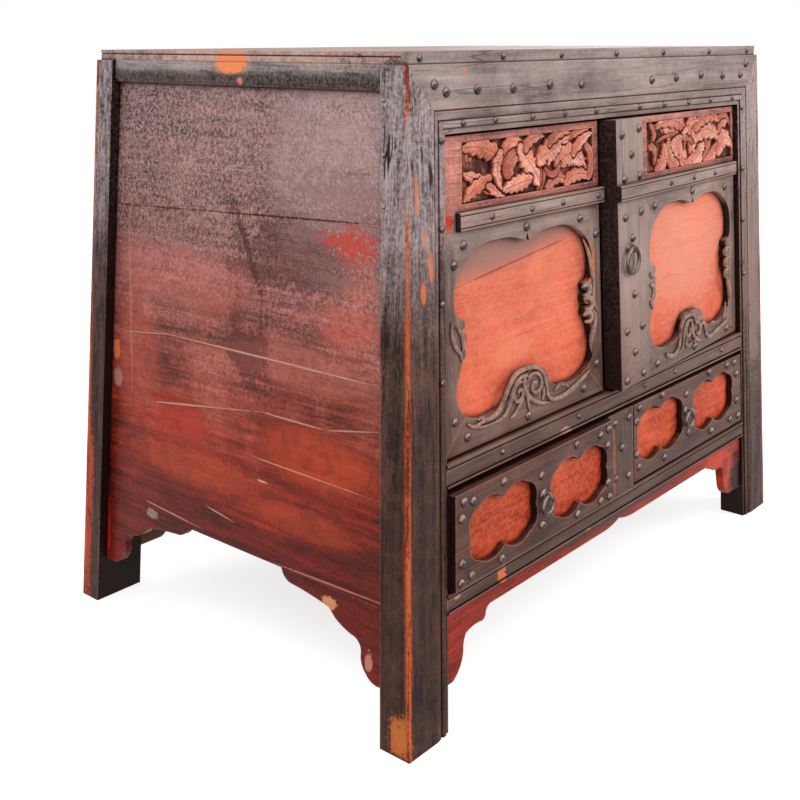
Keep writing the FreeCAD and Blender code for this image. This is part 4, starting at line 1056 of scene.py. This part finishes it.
LEFT_LEAVES = (
    Leaf((600, 175), (480, 125), (350, 115), 34, 5, 6.0),
    Leaf((540, 300), (450, 250), (355, 215), 24, 4, 6.5),
    Leaf((520, 250), (430, 275), (362, 318), 28, 4, 5.5),
    Leaf((510, 275), (560, 300), (605, 320), 20, 3, 6.0),
    Leaf((625, 150), (565, 200), (590, 290), 26, 4, 7.0),
    Leaf((640, 175), (655, 115), (745, 125), 30, 4, 6.5),
    Leaf((655, 250), (655, 190), (740, 150), 34, 0, 5.5),
    Leaf((725, 150), (790, 215), (862, 308), 42, 5, 7.5),
    Leaf((785, 275), (700, 285), (605, 300), 30, 5, 7.0),
    Leaf((760, 150), (800, 110), (880, 102), 22, 3, 6.0),
    Leaf((860, 195), (960, 160), (1092, 118), 44, 4, 7.5),
    Leaf((930, 140), (1000, 98), (1075, 98), 22, 3, 6.0),
    Leaf((868, 322), (888, 270), (905, 212), 10, 0, 5.5),
    Leaf((846, 322), (868, 280), (862, 225), 9, 0, 4.5),
    Leaf((1000, 225), (1100, 195), (1195, 275), 44, 5, 7.5),
    Leaf((920, 322), (985, 285), (1060, 312), 24, 3, 6.0),
    Leaf((1050, 315), (1140, 285), (1245, 308), 26, 4, 6.5),
    Leaf((1225, 305), (1255, 225), (1195, 150), 22, 3, 6.0),
    Leaf((1105, 195), (1175, 140), (1245, 112), 22, 3, 6.5),
    Leaf((1090, 125), (1160, 98), (1235, 92), 16, 3, 5.0),
    Leaf((905, 240), (960, 270), (1010, 225), 14, 0, 5.0),
)
RIGHT_LEAVES = (
    Leaf((890, 165), (760, 95), (560, 115), 30, 5, 6.5),
    Leaf((525, 100), (560, 150), (530, 205), 18, 3, 5.5),
    Leaf((520, 215), (565, 235), (560, 300), 20, 3, 5.5),
    Leaf((860, 178), (700, 170), (585, 195), 8, 0, 5.5),
    Leaf((955, 285), (930, 175), (820, 205), 34, 0, 7.5),
    Leaf((830, 195), (745, 250), (830, 320), 30, 0, 7.5),
    Leaf((830, 300), (900, 345), (960, 290), 26, 0, 7.0),
    Leaf((960, 225), (900, 195), (880, 255), 14, 0, 6.0),
    Leaf((795, 335), (715, 290), (700, 205), 32, 3, 6.5),
    Leaf((585, 338), (650, 290), (650, 215), 32, 3, 6.5),
    Leaf((985, 320), (1045, 290), (1060, 225), 40, 3, 7.5),
    Leaf((1000, 200), (1130, 165), (1275, 222), 42, 4, 7.5),
    Leaf((1090, 315), (1190, 320), (1270, 240), 32, 3, 6.0),
    Leaf((1285, 215), (1330, 150), (1410, 105), 26, 3, 6.5),
    Leaf((1010, 155), (1140, 90), (1300, 125), 32, 5, 6.0),
    Leaf((1275, 300), (1350, 230), (1425, 280), 42, 4, 7.5),
    Leaf((925, 165), (950, 110), (1015, 105), 26, 3, 7.0),
    Leaf((1290, 120), (1370, 95), (1430, 160), 18, 3, 5.0),
    Leaf((1100, 250), (1150, 270), (1080, 325), 16, 0, 5.5),
)
LEFT_SILL = (
    ((335, 1148, 1.5), (380, 1170, 3), (430, 1163, 3), (485, 1163, 3.5), (535, 1148, 3.5), (577, 1108, 3.5),
     (612, 1065, 3.5), (652, 1033, 3.5), (700, 1022, 3.5), (755, 1022, 3.5), (808, 1035, 3.5), (848, 1065, 3),
     (868, 1110, 3), (878, 1160, 3)),
    ((870, 1150, 3), (900, 1186, 3.5), (950, 1197, 4), (1010, 1194, 4), (1065, 1183, 4), (1120, 1165, 3.5),
     (1170, 1150, 3), (1210, 1132, 1.5)),
    ((350, 1165, 1), (420, 1182, 2), (500, 1186, 2.5), (570, 1178, 3), (610, 1140, 3.5), (640, 1085, 3.5),
     (690, 1048, 3.5), (735, 1050, 3)),
    ((715, 1045, 3), (712, 1085, 3.5), (728, 1125, 4), (770, 1160, 4), (830, 1188, 3), (890, 1200, 1.5)),
    ((702, 1068, 2), (668, 1068, 2.5), (642, 1092, 3), (645, 1128, 3), (676, 1142, 3), (702, 1120, 3),
     (688, 1098, 3), (668, 1108, 2.5)),
    ((740, 1062, 2), (785, 1052, 3), (826, 1072, 3), (834, 1112, 3.5), (802, 1134, 3), (768, 1116, 3),
     (780, 1090, 3), (800, 1094, 2.5)),
    ((706, 1140, 2), (672, 1162, 3), (640, 1190, 3), (612, 1198, 1)),
    ((735, 1140, 3), (742, 1175, 2.5), (748, 1212, 1)),
    ((850, 1120, 2), (852, 1155, 3), (838, 1180, 1)),
    ((930, 1160, 1), (965, 1146, 3), (1005, 1150, 3), (1040, 1168, 1)),
    ((400, 1150, 1), (432, 1150, 3), (448, 1166, 1)),
)
LEFT_JAMB_MEETING = (
    ((1175, 560, 1), (1215, 620, 3), (1240, 700, 3), (1252, 770, 3), (1240, 800, 1)),
    ((1165, 762, 2.5), (1190, 755, 4), (1215, 770, 5), (1205, 800, 4.5), (1175, 800, 2)),
    ((1175, 815, 2), (1205, 815, 4), (1232, 830, 5), (1225, 862, 4.5), (1185, 862, 2)),
    ((1170, 885, 2), (1195, 878, 4), (1225, 890, 5), (1222, 915, 4), (1180, 915, 2)),
    ((1250, 835, 3), (1262, 865, 3), (1285, 882, 1)),
    ((1240, 870, 2), (1258, 910, 4.5), (1245, 960, 4.5), (1225, 1010, 3.5), (1228, 1060, 1)),
    ((1262, 745, 1), (1250, 790, 3), (1240, 835, 3.5), (1238, 880, 2)),
)
LEFT_JAMB_HINGE = (
    ((262, 742, 1), (262, 790, 3), (280, 840, 3.5), (308, 872, 3), (318, 905, 1)),
    ((288, 765, 1), (312, 790, 3.5), (326, 830, 3.5), (322, 868, 1)),
)
RIGHT_SILL = (
    ((645, 1188, 3), (690, 1205, 4.5), (745, 1205, 4), (780, 1180, 3.5), (800, 1130, 3.5), (812, 1085, 3.5),
     (850, 1056, 3.5), (900, 1050, 3.5), (945, 1060, 3.5), (965, 1085, 3), (975, 1110, 2)),
    ((780, 1215, 1), (820, 1195, 3), (838, 1140, 3.5), (850, 1095, 3.5), (885, 1075, 3.5), (925, 1080, 2)),
    ((885, 1085, 2), (862, 1110, 3), (868, 1140, 3), (895, 1150, 3), (912, 1130, 3), (898, 1112, 2)),
    ((925, 1075, 2.5), (925, 1120, 3.5), (945, 1160, 4), (985, 1190, 3.5), (1040, 1205, 1)),
    ((965, 1100, 2.5), (1005, 1110, 3), (1020, 1145, 3.5), (995, 1165, 3), (972, 1150, 2)),
    ((1030, 1130, 2), (1062, 1120, 3.5), (1082, 1150, 3.5), (1090, 1190, 1.5)),
    ((1085, 1170, 2.5), (1110, 1200, 4), (1160, 1205, 4), (1220, 1192, 3.5), (1290, 1180, 3), (1360, 1165, 1.5)),
    ((870, 1160, 1.5), (865, 1190, 3.5), (900, 1200, 3.5), (935, 1185, 1.5)),
    ((955, 1180, 3), (965, 1210, 3), (968, 1240, 1)),
    ((1140, 1150, 1), (1175, 1143, 2.5), (1210, 1150, 1)),
    ((1290, 1165, 1), (1325, 1120, 3), (1335, 1070, 1)),
)
RIGHT_JAMB_HINGE = (
    ((1395, 795, 1.5), (1345, 790, 4), (1325, 812, 4.5), (1345, 830, 2)),
    ((1385, 838, 1.5), (1345, 842, 4), (1330, 868, 4.5), (1350, 890, 2)),
    ((1385, 905, 1.5), (1345, 900, 4), (1330, 925, 4.5), (1352, 945, 2)),
    ((1345, 940, 2), (1370, 985, 4), (1385, 1040, 4), (1370, 1090, 1)),
)
RIGHT_JAMB_MEETING = (
    ((492, 778, 2.5), (515, 790, 4.5), (520, 800, 2)),
    ((492, 830, 2), (520, 838, 4), (526, 865, 4), (505, 885, 2)),
    ((492, 905, 2.5), (510, 925, 4), (518, 945, 1)),
)
CARVINGS = {
    "left": DoorCarving(DoorView(edge_pixel=60, edge=-0.457, stretch=1.0, field_left=345, field_right=1262,
                                 field_foot=328, field_head=92),
                        LEFT_LEAVES, (-0.3605, -0.0596, 0.654), (-0.3570, -0.0609, 0.728),
                        {"sill_scrolls": LEFT_SILL, "meeting_knobs": LEFT_JAMB_MEETING,
                         "hinge_leaf": LEFT_JAMB_HINGE}),
    "right": DoorCarving(DoorView(edge_pixel=490, edge=0.0624, stretch=1.0734, field_left=503, field_right=1440,
                                  field_foot=345, field_head=85),
                         RIGHT_LEAVES, (0.0641, 0.3875, 0.654), (0.0658, 0.3840, 0.728),
                         {"sill_scrolls": RIGHT_SILL, "hinge_knobs": RIGHT_JAMB_HINGE,
                          "meeting_knobs": RIGHT_JAMB_MEETING}),
}


@dataclass
class CarvedPlaque:
    """The deep carving of curling leaves above a door's studded rail."""

    side: str
    carving: DoorCarving
    ground: float = -0.015
    clear_from: float = -0.0148
    clear_to: float = -0.0102
    border: float = 0.001
    pitch: float = 0.00085
    skirt: float = 0.004
    tallest: float = 0.0075
    plumper: float = 1.14
    rib_steps: int = 32
    lobe_depth: float = 0.15
    moat_depth: float = 0.85
    moat_width: float = 0.0013
    smooth_to: float = math.radians(50.0)

    def build(self, finishes: Finishes) -> None:
        """Carves the field and clears the CAD's plain leaves from the border.

        Args:
            finishes: the cabinet's finishes.
        """
        body = f"door_{self.side}"
        border = self._border(body)
        border.data.materials.clear()
        border.data.materials.append(finishes.plaque)
        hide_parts(f"{body}_plaque")
        carving = self._field(f"{body}_carving")
        carving.data.materials.append(finishes.carving)
        for piece in (border, carving):
            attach(piece, body)
        log.info("%s plaque carved", body)

    def _border(self, body: str) -> bpy.types.Object:
        """Copies the plaque and takes the plain leaves off its ground.

        Args:
            body: the door's name.

        Returns:
            The border.
        """
        piece = copy_of_node(f"{body}_plaque", f"{body}_plaque_border")
        flat = door_plane(self.side).inverted()
        low, high = self.carving.foot[2] + self.border, self.carving.head[2] - self.border
        bpy.ops.object.mode_set(mode="EDIT")
        bpy.ops.mesh.select_all(action="DESELECT")
        bpy.ops.object.mode_set(mode="OBJECT")
        for vertex in piece.data.vertices:
            _, up, out = flat @ vertex.co
            vertex.select = low < up < high and self.clear_from < out < self.clear_to
        bpy.ops.object.mode_set(mode="EDIT")
        bpy.ops.mesh.delete(type="VERT")
        bpy.ops.mesh.select_all(action="SELECT")
        bpy.ops.mesh.fill_holes(sides=0)
        bpy.ops.object.mode_set(mode="OBJECT")
        return piece

    def _field(self, name: str) -> bpy.types.Object:
        """Carves the leaves out of one slab.

        Args:
            name: the piece's name.

        Returns:
            The carving.
        """
        foot, head = self.carving.foot, self.carving.head
        length, rise = foot[1] - foot[0], head[2] - foot[2]
        across, up = round(length / self.pitch), round(rise / self.pitch)
        deselect()
        bpy.ops.mesh.primitive_grid_add(x_subdivisions=across, y_subdivisions=up, size=1.0)
        piece = bpy.context.active_object
        piece.name = name
        count = len(piece.data.vertices)
        spots = np.zeros(count * 3)
        piece.data.vertices.foreach_get("co", spots)
        share = spots.reshape(-1, 3)[:, :2] + 0.5
        left = foot[0] + (head[0] - foot[0]) * share[:, 1]
        right = foot[1] + (head[1] - foot[1]) * share[:, 1]
        flat = np.stack([left + (right - left) * share[:, 0], foot[2] + rise * share[:, 1]], axis=1)
        heights = self._heights(share * np.array([length, rise]), np.array([length, rise]))
        piece.data.attributes.new("rise", "FLOAT", "POINT").data.foreach_set("value", heights / self.tallest)
        piece.data.vertices.foreach_set("co", np.column_stack([flat, self.ground + heights]).ravel())
        piece.data.update()
        pick(piece)
        bpy.ops.object.mode_set(mode="EDIT")
        bpy.ops.mesh.select_all(action="DESELECT")
        bpy.ops.mesh.select_mode(type="EDGE")
        bpy.ops.mesh.select_non_manifold()
        bpy.ops.mesh.extrude_region_move(TRANSFORM_OT_translate={"value": (0.0, 0.0, -self.skirt)})
        bpy.ops.mesh.edge_face_add()
        bpy.ops.mesh.select_all(action="SELECT")
        bpy.ops.mesh.normals_make_consistent(inside=False)
        bpy.ops.object.mode_set(mode="OBJECT")
        bpy.ops.object.shade_smooth_by_angle(angle=self.smooth_to)
        put(piece, door_plane(self.side))
        return piece

    def _heights(self, here: np.ndarray, size: np.ndarray) -> np.ndarray:
        """How far the carving stands out of its ground.

        Args:
            here: the points, in metres from the field's corner.
            size: the field's length and height.

        Returns:
            The height at each point.
        """
        wave = np.sin(here[:, 0] * 900.0 + 3.0 * np.sin(here[:, 1] * 400.0)) * np.sin(here[:, 1] * 700.0)
        height = 0.0004 + 0.0003 * wave
        for number, leaf in enumerate(self.carving.leaves):
            leaf_height, moat = self._leaf(leaf, here, size, number)
            height = np.maximum(height * moat, leaf_height)
        return height

    def _leaf(self, leaf: Leaf, here: np.ndarray, size: np.ndarray, number: int) -> tuple[np.ndarray, np.ndarray]:
        """The height of one leaf, and the undercut that parts it from the leaves below it.

        Args:
            leaf: the leaf.
            here: the points, in metres from the field's corner.
            size: the field's length and height.
            number: the leaf's place in the row, which varies its veins.

        Returns:
            The height at each point, below zero outside the leaf, and the share of the ground that stays.
        """
        base, bend, tip = (self.carving.view.share(pixel) * size for pixel in (leaf.base, leaf.bend, leaf.tip))
        steps = np.linspace(0.0, 1.0, self.rib_steps + 1)
        bend = 2.0 * bend - 0.5 * (base + tip)
        rib = ((1 - steps) ** 2)[:, None] * base + (2 * steps * (1 - steps))[:, None] * bend \
            + (steps ** 2)[:, None] * tip
        best = np.full(len(here), 1e9)
        along = np.zeros(len(here))
        side = np.zeros(len(here))
        for index in range(len(rib) - 1):
            run = rib[index + 1] - rib[index]
            away = here - rib[index]
            part = np.clip((away @ run) / (run @ run), 0.0, 1.0)
            gap = away - part[:, None] * run
            distance = np.hypot(gap[:, 0], gap[:, 1])
            nearer = distance < best
            best = np.where(nearer, distance, best)
            along = np.where(nearer, steps[index] + part / self.rib_steps, along)
            side = np.where(nearer, np.sign(run[0] * away[:, 1] - run[1] * away[:, 0]), side)
        swell = np.sin(np.pi * np.clip(0.10 + 0.86 * along, 0.0, 1.0) ** 0.85) ** 0.55
        beat = 2 * np.pi * (leaf.lobes * along + 0.25 * side + 0.13 * number)
        half = leaf.half / PIXELS_PER_METRE * self.plumper * swell
        half = half * (1.0 + (self.lobe_depth * np.cos(beat) if leaf.lobes else 0.0))
        out = best / np.maximum(half, 1e-6)
        dome = np.sqrt(np.clip(1.0 - out ** 2.6, 0.0, 1.0))
        lip = 0.16 * np.exp(-((out - 0.80) / 0.14) ** 2)
        rib_groove = 0.24 * np.exp(-(out / 0.11) ** 2)
        veins = max(leaf.lobes, 5) * 2
        vein = 0.15 * (0.5 + 0.5 * np.cos(2 * np.pi * veins * (along - 0.10 * out))) ** 3 * np.clip(out * 3, 0, 1)
        lean = 1.0 - 0.16 * side * out
        shape = (0.52 + 0.48 * dome + lip - rib_groove - vein) * lean * (0.86 + 0.20 * along)
        gap = best - half
        moat = 1.0 - self.moat_depth * np.exp(-(np.maximum(gap, 0.0) / self.moat_width) ** 2) * (half > MILLIMETRE)
        return np.where(out < 1.0, leaf.rise * MILLIMETRE * shape, -1.0), moat


@dataclass
class CarvedBands:
    """Scrolls, ribbons and leaf knobs round a door's opening, each a rounded band with pointed ends."""

    side: str
    name: str
    view: DoorView
    strands: tuple[Strand, ...]
    face: float = -0.010
    sink: float = 0.35
    flatness: float = 0.85
    rounds: int = 2
    steps: int = 5

    def build(self, finishes: Finishes) -> None:
        """Models every band and joins them into one piece.

        Args:
            finishes: the cabinet's finishes.
        """
        deselect()
        bands = [self._band(strand) for strand in self.strands]
        deselect()
        for band in bands:
            band.select_set(True)
        bpy.context.view_layer.objects.active = bands[0]
        bpy.ops.object.join()
        piece = bpy.context.active_object
        piece.name = f"door_{self.side}_{self.name}"
        bpy.ops.object.shade_smooth()
        piece.data.materials.clear()
        piece.data.materials.append(finishes.bands)
        put(piece, door_plane(self.side))
        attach(piece, f"door_{self.side}")

    def _band(self, strand: Strand) -> bpy.types.Object:
        """Draws one band as a round curve and flattens it onto the face.

        Args:
            strand: the band.

        Returns:
            The band's mesh.
        """
        deselect()
        bpy.ops.curve.primitive_bezier_curve_add()
        piece = bpy.context.active_object
        curve = piece.data
        spline = curve.splines[0]
        spline.bezier_points.add(len(strand) - 2)
        for point, (across, down, half) in zip(spline.bezier_points, strand):
            point.co = (*self.view.metres(across, down), 0.0)
            point.handle_left_type = point.handle_right_type = "AUTO"
            point.radius = half * MILLIMETRE
        curve.bevel_depth, curve.bevel_resolution, curve.resolution_u = 1.0, self.rounds, self.steps
        curve.use_fill_caps = True
        bpy.ops.object.convert(target="MESH")
        piece = bpy.context.active_object
        widest = max(half for _, _, half in strand) * MILLIMETRE
        bpy.ops.object.mode_set(mode="EDIT")
        bpy.ops.mesh.select_all(action="SELECT")
        bpy.ops.transform.resize(value=(1.0, 1.0, self.flatness), center_override=(0.0, 0.0, 0.0))
        bpy.ops.transform.translate(value=(0.0, 0.0, self.face + widest * self.flatness * (1 - 2 * self.sink)))
        bpy.ops.mesh.normals_make_consistent(inside=False)
        bpy.ops.object.mode_set(mode="OBJECT")
        return piece


@dataclass
class Case:
    """The fixed case: posts, rails, side planks, top, back and floors."""

    posts: tuple[str, ...] = ("post_front_left", "post_front_right", "post_back_left", "post_back_right")
    along: tuple[str, ...] = ("front_top_rail", "front_mid_rail", "front_bottom_rail", "back_top_rail",
                              "front_edging")
    deep: tuple[str, ...] = ("side_rail_left", "side_rail_right")
    planks: tuple[str, ...] = tuple(f"side_plank_{side}_{place}" for side in ("left", "right")
                                    for place in ("upper", "middle", "lower"))
    brackets: tuple[str, ...] = tuple(f"side_bracket_{side}_{place}" for side in ("left", "right")
                                      for place in ("front", "back"))

    def build(self, finishes: Finishes) -> None:
        """Dresses the case.

        Args:
            finishes: the cabinet's finishes.
        """
        for node in self.posts:
            dress(node, finishes.posts)
        dress("drawer_divider", finishes.frame_upright)
        dress("top_board", finishes.top)
        for node in self.along:
            dress(node, finishes.frame_along)
        for node in self.deep:
            dress(node, finishes.frame_deep)
        for node in (*self.planks, *self.brackets):
            dress(node, finishes.planks)
        dress("front_apron", finishes.apron)
        dress("back_apron", finishes.raw_along)
        dress("back_panel", finishes.raw_upright)
        dress("cupboard_floor", finishes.raw_along)
        dress("runner_board", finishes.raw_deep)
        dress("drawer_guides", finishes.raw_deep)
        ForgedIronwork("case_studs", "case").build(finishes)
        log.info("case dressed")


@dataclass
class Door:
    """One door: its cusped frame, board, carved plaque and studded rail."""

    side: str

    def build(self, finishes: Finishes) -> None:
        """Dresses the door.

        Args:
            finishes: the cabinet's finishes.
        """
        body = f"door_{self.side}"
        for part in ("frame_sill", "frame_head", "astragal"):
            dress(f"{body}_{part}", finishes.door_along)
        for part in ("frame_jamb_hinge", "frame_jamb_meeting"):
            dress(f"{body}_{part}", finishes.door_upright)
        dress(f"{body}_board", finishes.boards)
        carving = CARVINGS[self.side]
        CarvedPlaque(self.side, carving).build(finishes)
        for name, strands in carving.bands.items():
            CarvedBands(self.side, name, carving.view, strands).build(finishes)
        dress(f"{body}_batten", finishes.raw_upright)
        if self.side == "left":
            ForgedIronwork("door_left_studs", body).build(finishes)
        else:
            dress("door_right_stile", finishes.door_upright)
            ForgedIronwork("door_right_ironwork", body).build(finishes)
        log.info("%s dressed", body)


@dataclass
class Drawer:
    """One drawer: its face with two cusped windows, the board behind them and the box."""

    side: str

    def build(self, finishes: Finishes) -> None:
        """Dresses the drawer.

        Args:
            finishes: the cabinet's finishes.
        """
        body = f"drawer_{self.side}"
        dress(f"{body}_frame", finishes.door_along)
        dress(f"{body}_front", finishes.drawer_boards)
        dress(f"{body}_box", finishes.raw_deep)
        ForgedIronwork(f"{body}_ironwork", body).build(finishes)
        log.info("%s dressed", body)


@dataclass
class Rings:
    """The three pull rings."""

    nodes: tuple[str, ...] = ("ring_door", "ring_drawer_left", "ring_drawer_right")

    def build(self, finishes: Finishes) -> None:
        """Dresses the rings.

        Args:
            finishes: the cabinet's finishes.
        """
        for node in self.nodes:
            ForgedIronwork(node, node).build(finishes)
        log.info("rings dressed")


@dataclass
class Studio:
    """The pale floor, the soft lights and the camera."""

    floor_size: float = 12.0
    lamps: tuple[tuple[str, Point, float, float], ...] = (
        ("key", (-2.6, -1.6, 2.7), 2.2, 44.0),
        ("fill", (2.2, -2.8, 2.2), 2.2, 68.0),
        ("back", (-1.5, 2.6, 2.4), 2.0, 26.0),
        ("right", (3.0, 1.2, 2.2), 2.0, 20.0),
    )
    aim: Point = (0.0, 0.0, 0.35)
    camera_place: Point = (-1.4462, -1.1183, 0.849)
    yaw: float = 0.8637
    pitch: float = 0.2
    roll: float = -0.0026
    lens: float = 51.457
    sensor: float = 36.0
    shift: float = -0.1625
    floor_tone: float = 0.62
    floor_glow: float = 0.72
    room_light: float = 0.62

    def build(self) -> None:
        """Builds the studio."""
        self._floor()
        self._world()
        for name, place, size, power in self.lamps:
            self._lamp(name, Vector(place), size, power)
        self._camera()
        log.info("studio built")

    def _floor(self) -> None:
        """Lays the pale floor, which keeps the cabinet's shadow."""
        deselect()
        bpy.ops.mesh.primitive_plane_add(size=self.floor_size, location=(0.0, 0.0, 0.0))
        floor = bpy.context.active_object
        floor.name = "floor"
        graph = Graph("floor")
        path = graph.node("ShaderNodeLightPath")
        seen = (graph.value(path, "Is Camera Ray") + graph.value(path, "Is Glossy Ray")).least(1.0)
        graph.surface(Base_Color=(self.floor_tone,) * 3, Roughness=0.9, Specular_IOR_Level=0.0, Emission_Strength=1.0,
                      Emission_Color=graph.mix(seen, (0.0,) * 3, (self.floor_glow,) * 3))
        floor.data.materials.append(graph.material)

    def _world(self) -> None:
        """Lights the room softly and shows white behind the cabinet."""
        world = bpy.data.worlds.new("room")
        bpy.context.scene.world = world
        world.use_nodes = True
        tree = world.node_tree
        tree.nodes.clear()
        path = tree.nodes.new("ShaderNodeLightPath")
        mix = tree.nodes.new("ShaderNodeMixShader")
        out = tree.nodes.new("ShaderNodeOutputWorld")
        tree.links.new(path.outputs["Is Camera Ray"], mix.inputs[0])
        for socket, strength in ((1, self.room_light), (2, 1.0)):
            light = tree.nodes.new("ShaderNodeBackground")
            light.inputs[0].default_value = (1.0, 1.0, 1.0, 1.0)
            light.inputs[1].default_value = strength
            tree.links.new(light.outputs[0], mix.inputs[socket])
        tree.links.new(mix.outputs[0], out.inputs[0])

    def _lamp(self, name: str, place: Vector, size: float, power: float) -> None:
        """Hangs one soft lamp that points at the cabinet.

        Args:
            name: the lamp's name.
            place: where it hangs.
            size: its width and height.
            power: its power in watts.
        """
        data = bpy.data.lights.new(name, "AREA")
        data.shape, data.size, data.energy = "SQUARE", size, power
        lamp = bpy.data.objects.new(name, data)
        bpy.context.scene.collection.objects.link(lamp)
        lamp.location = place
        lamp.rotation_euler = (Vector(self.aim) - place).to_track_quat("-Z", "Y").to_euler()

    def _camera(self) -> None:
        """Stands the camera where the photograph was taken from."""
        ahead = Vector((math.sin(self.yaw) * math.cos(self.pitch), math.cos(self.yaw) * math.cos(self.pitch),
                        -math.sin(self.pitch)))
        right = Vector((math.cos(self.yaw), -math.sin(self.yaw), 0.0))
        up = right.cross(ahead)
        turned_right = math.cos(self.roll) * right + math.sin(self.roll) * up
        turned_up = -math.sin(self.roll) * right + math.cos(self.roll) * up
        data = bpy.data.cameras.new("camera")
        data.sensor_width, data.lens, data.shift_y = self.sensor, self.lens, self.shift
        camera = bpy.data.objects.new("camera", data)
        bpy.context.scene.collection.objects.link(camera)
        turn = Matrix((turned_right, turned_up, -ahead)).transposed()
        camera.matrix_world = Matrix.Translation(self.camera_place) @ turn.to_4x4()
        bpy.context.scene.camera = camera


def main() -> None:
    """Builds the cabinet's looks, piece by piece."""
    logging.basicConfig(level=logging.INFO, format="%(message)s")
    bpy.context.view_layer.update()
    finishes = Finishes()
    log.info("finishes built")
    Studio().build()
    Case().build(finishes)
    for side in ("left", "right"):
        Door(side).build(finishes)
        Drawer(side).build(finishes)
    Rings().build(finishes)
    bpy.context.scene.view_settings.view_transform = "Standard"


if __name__ == "__main__":
    main()
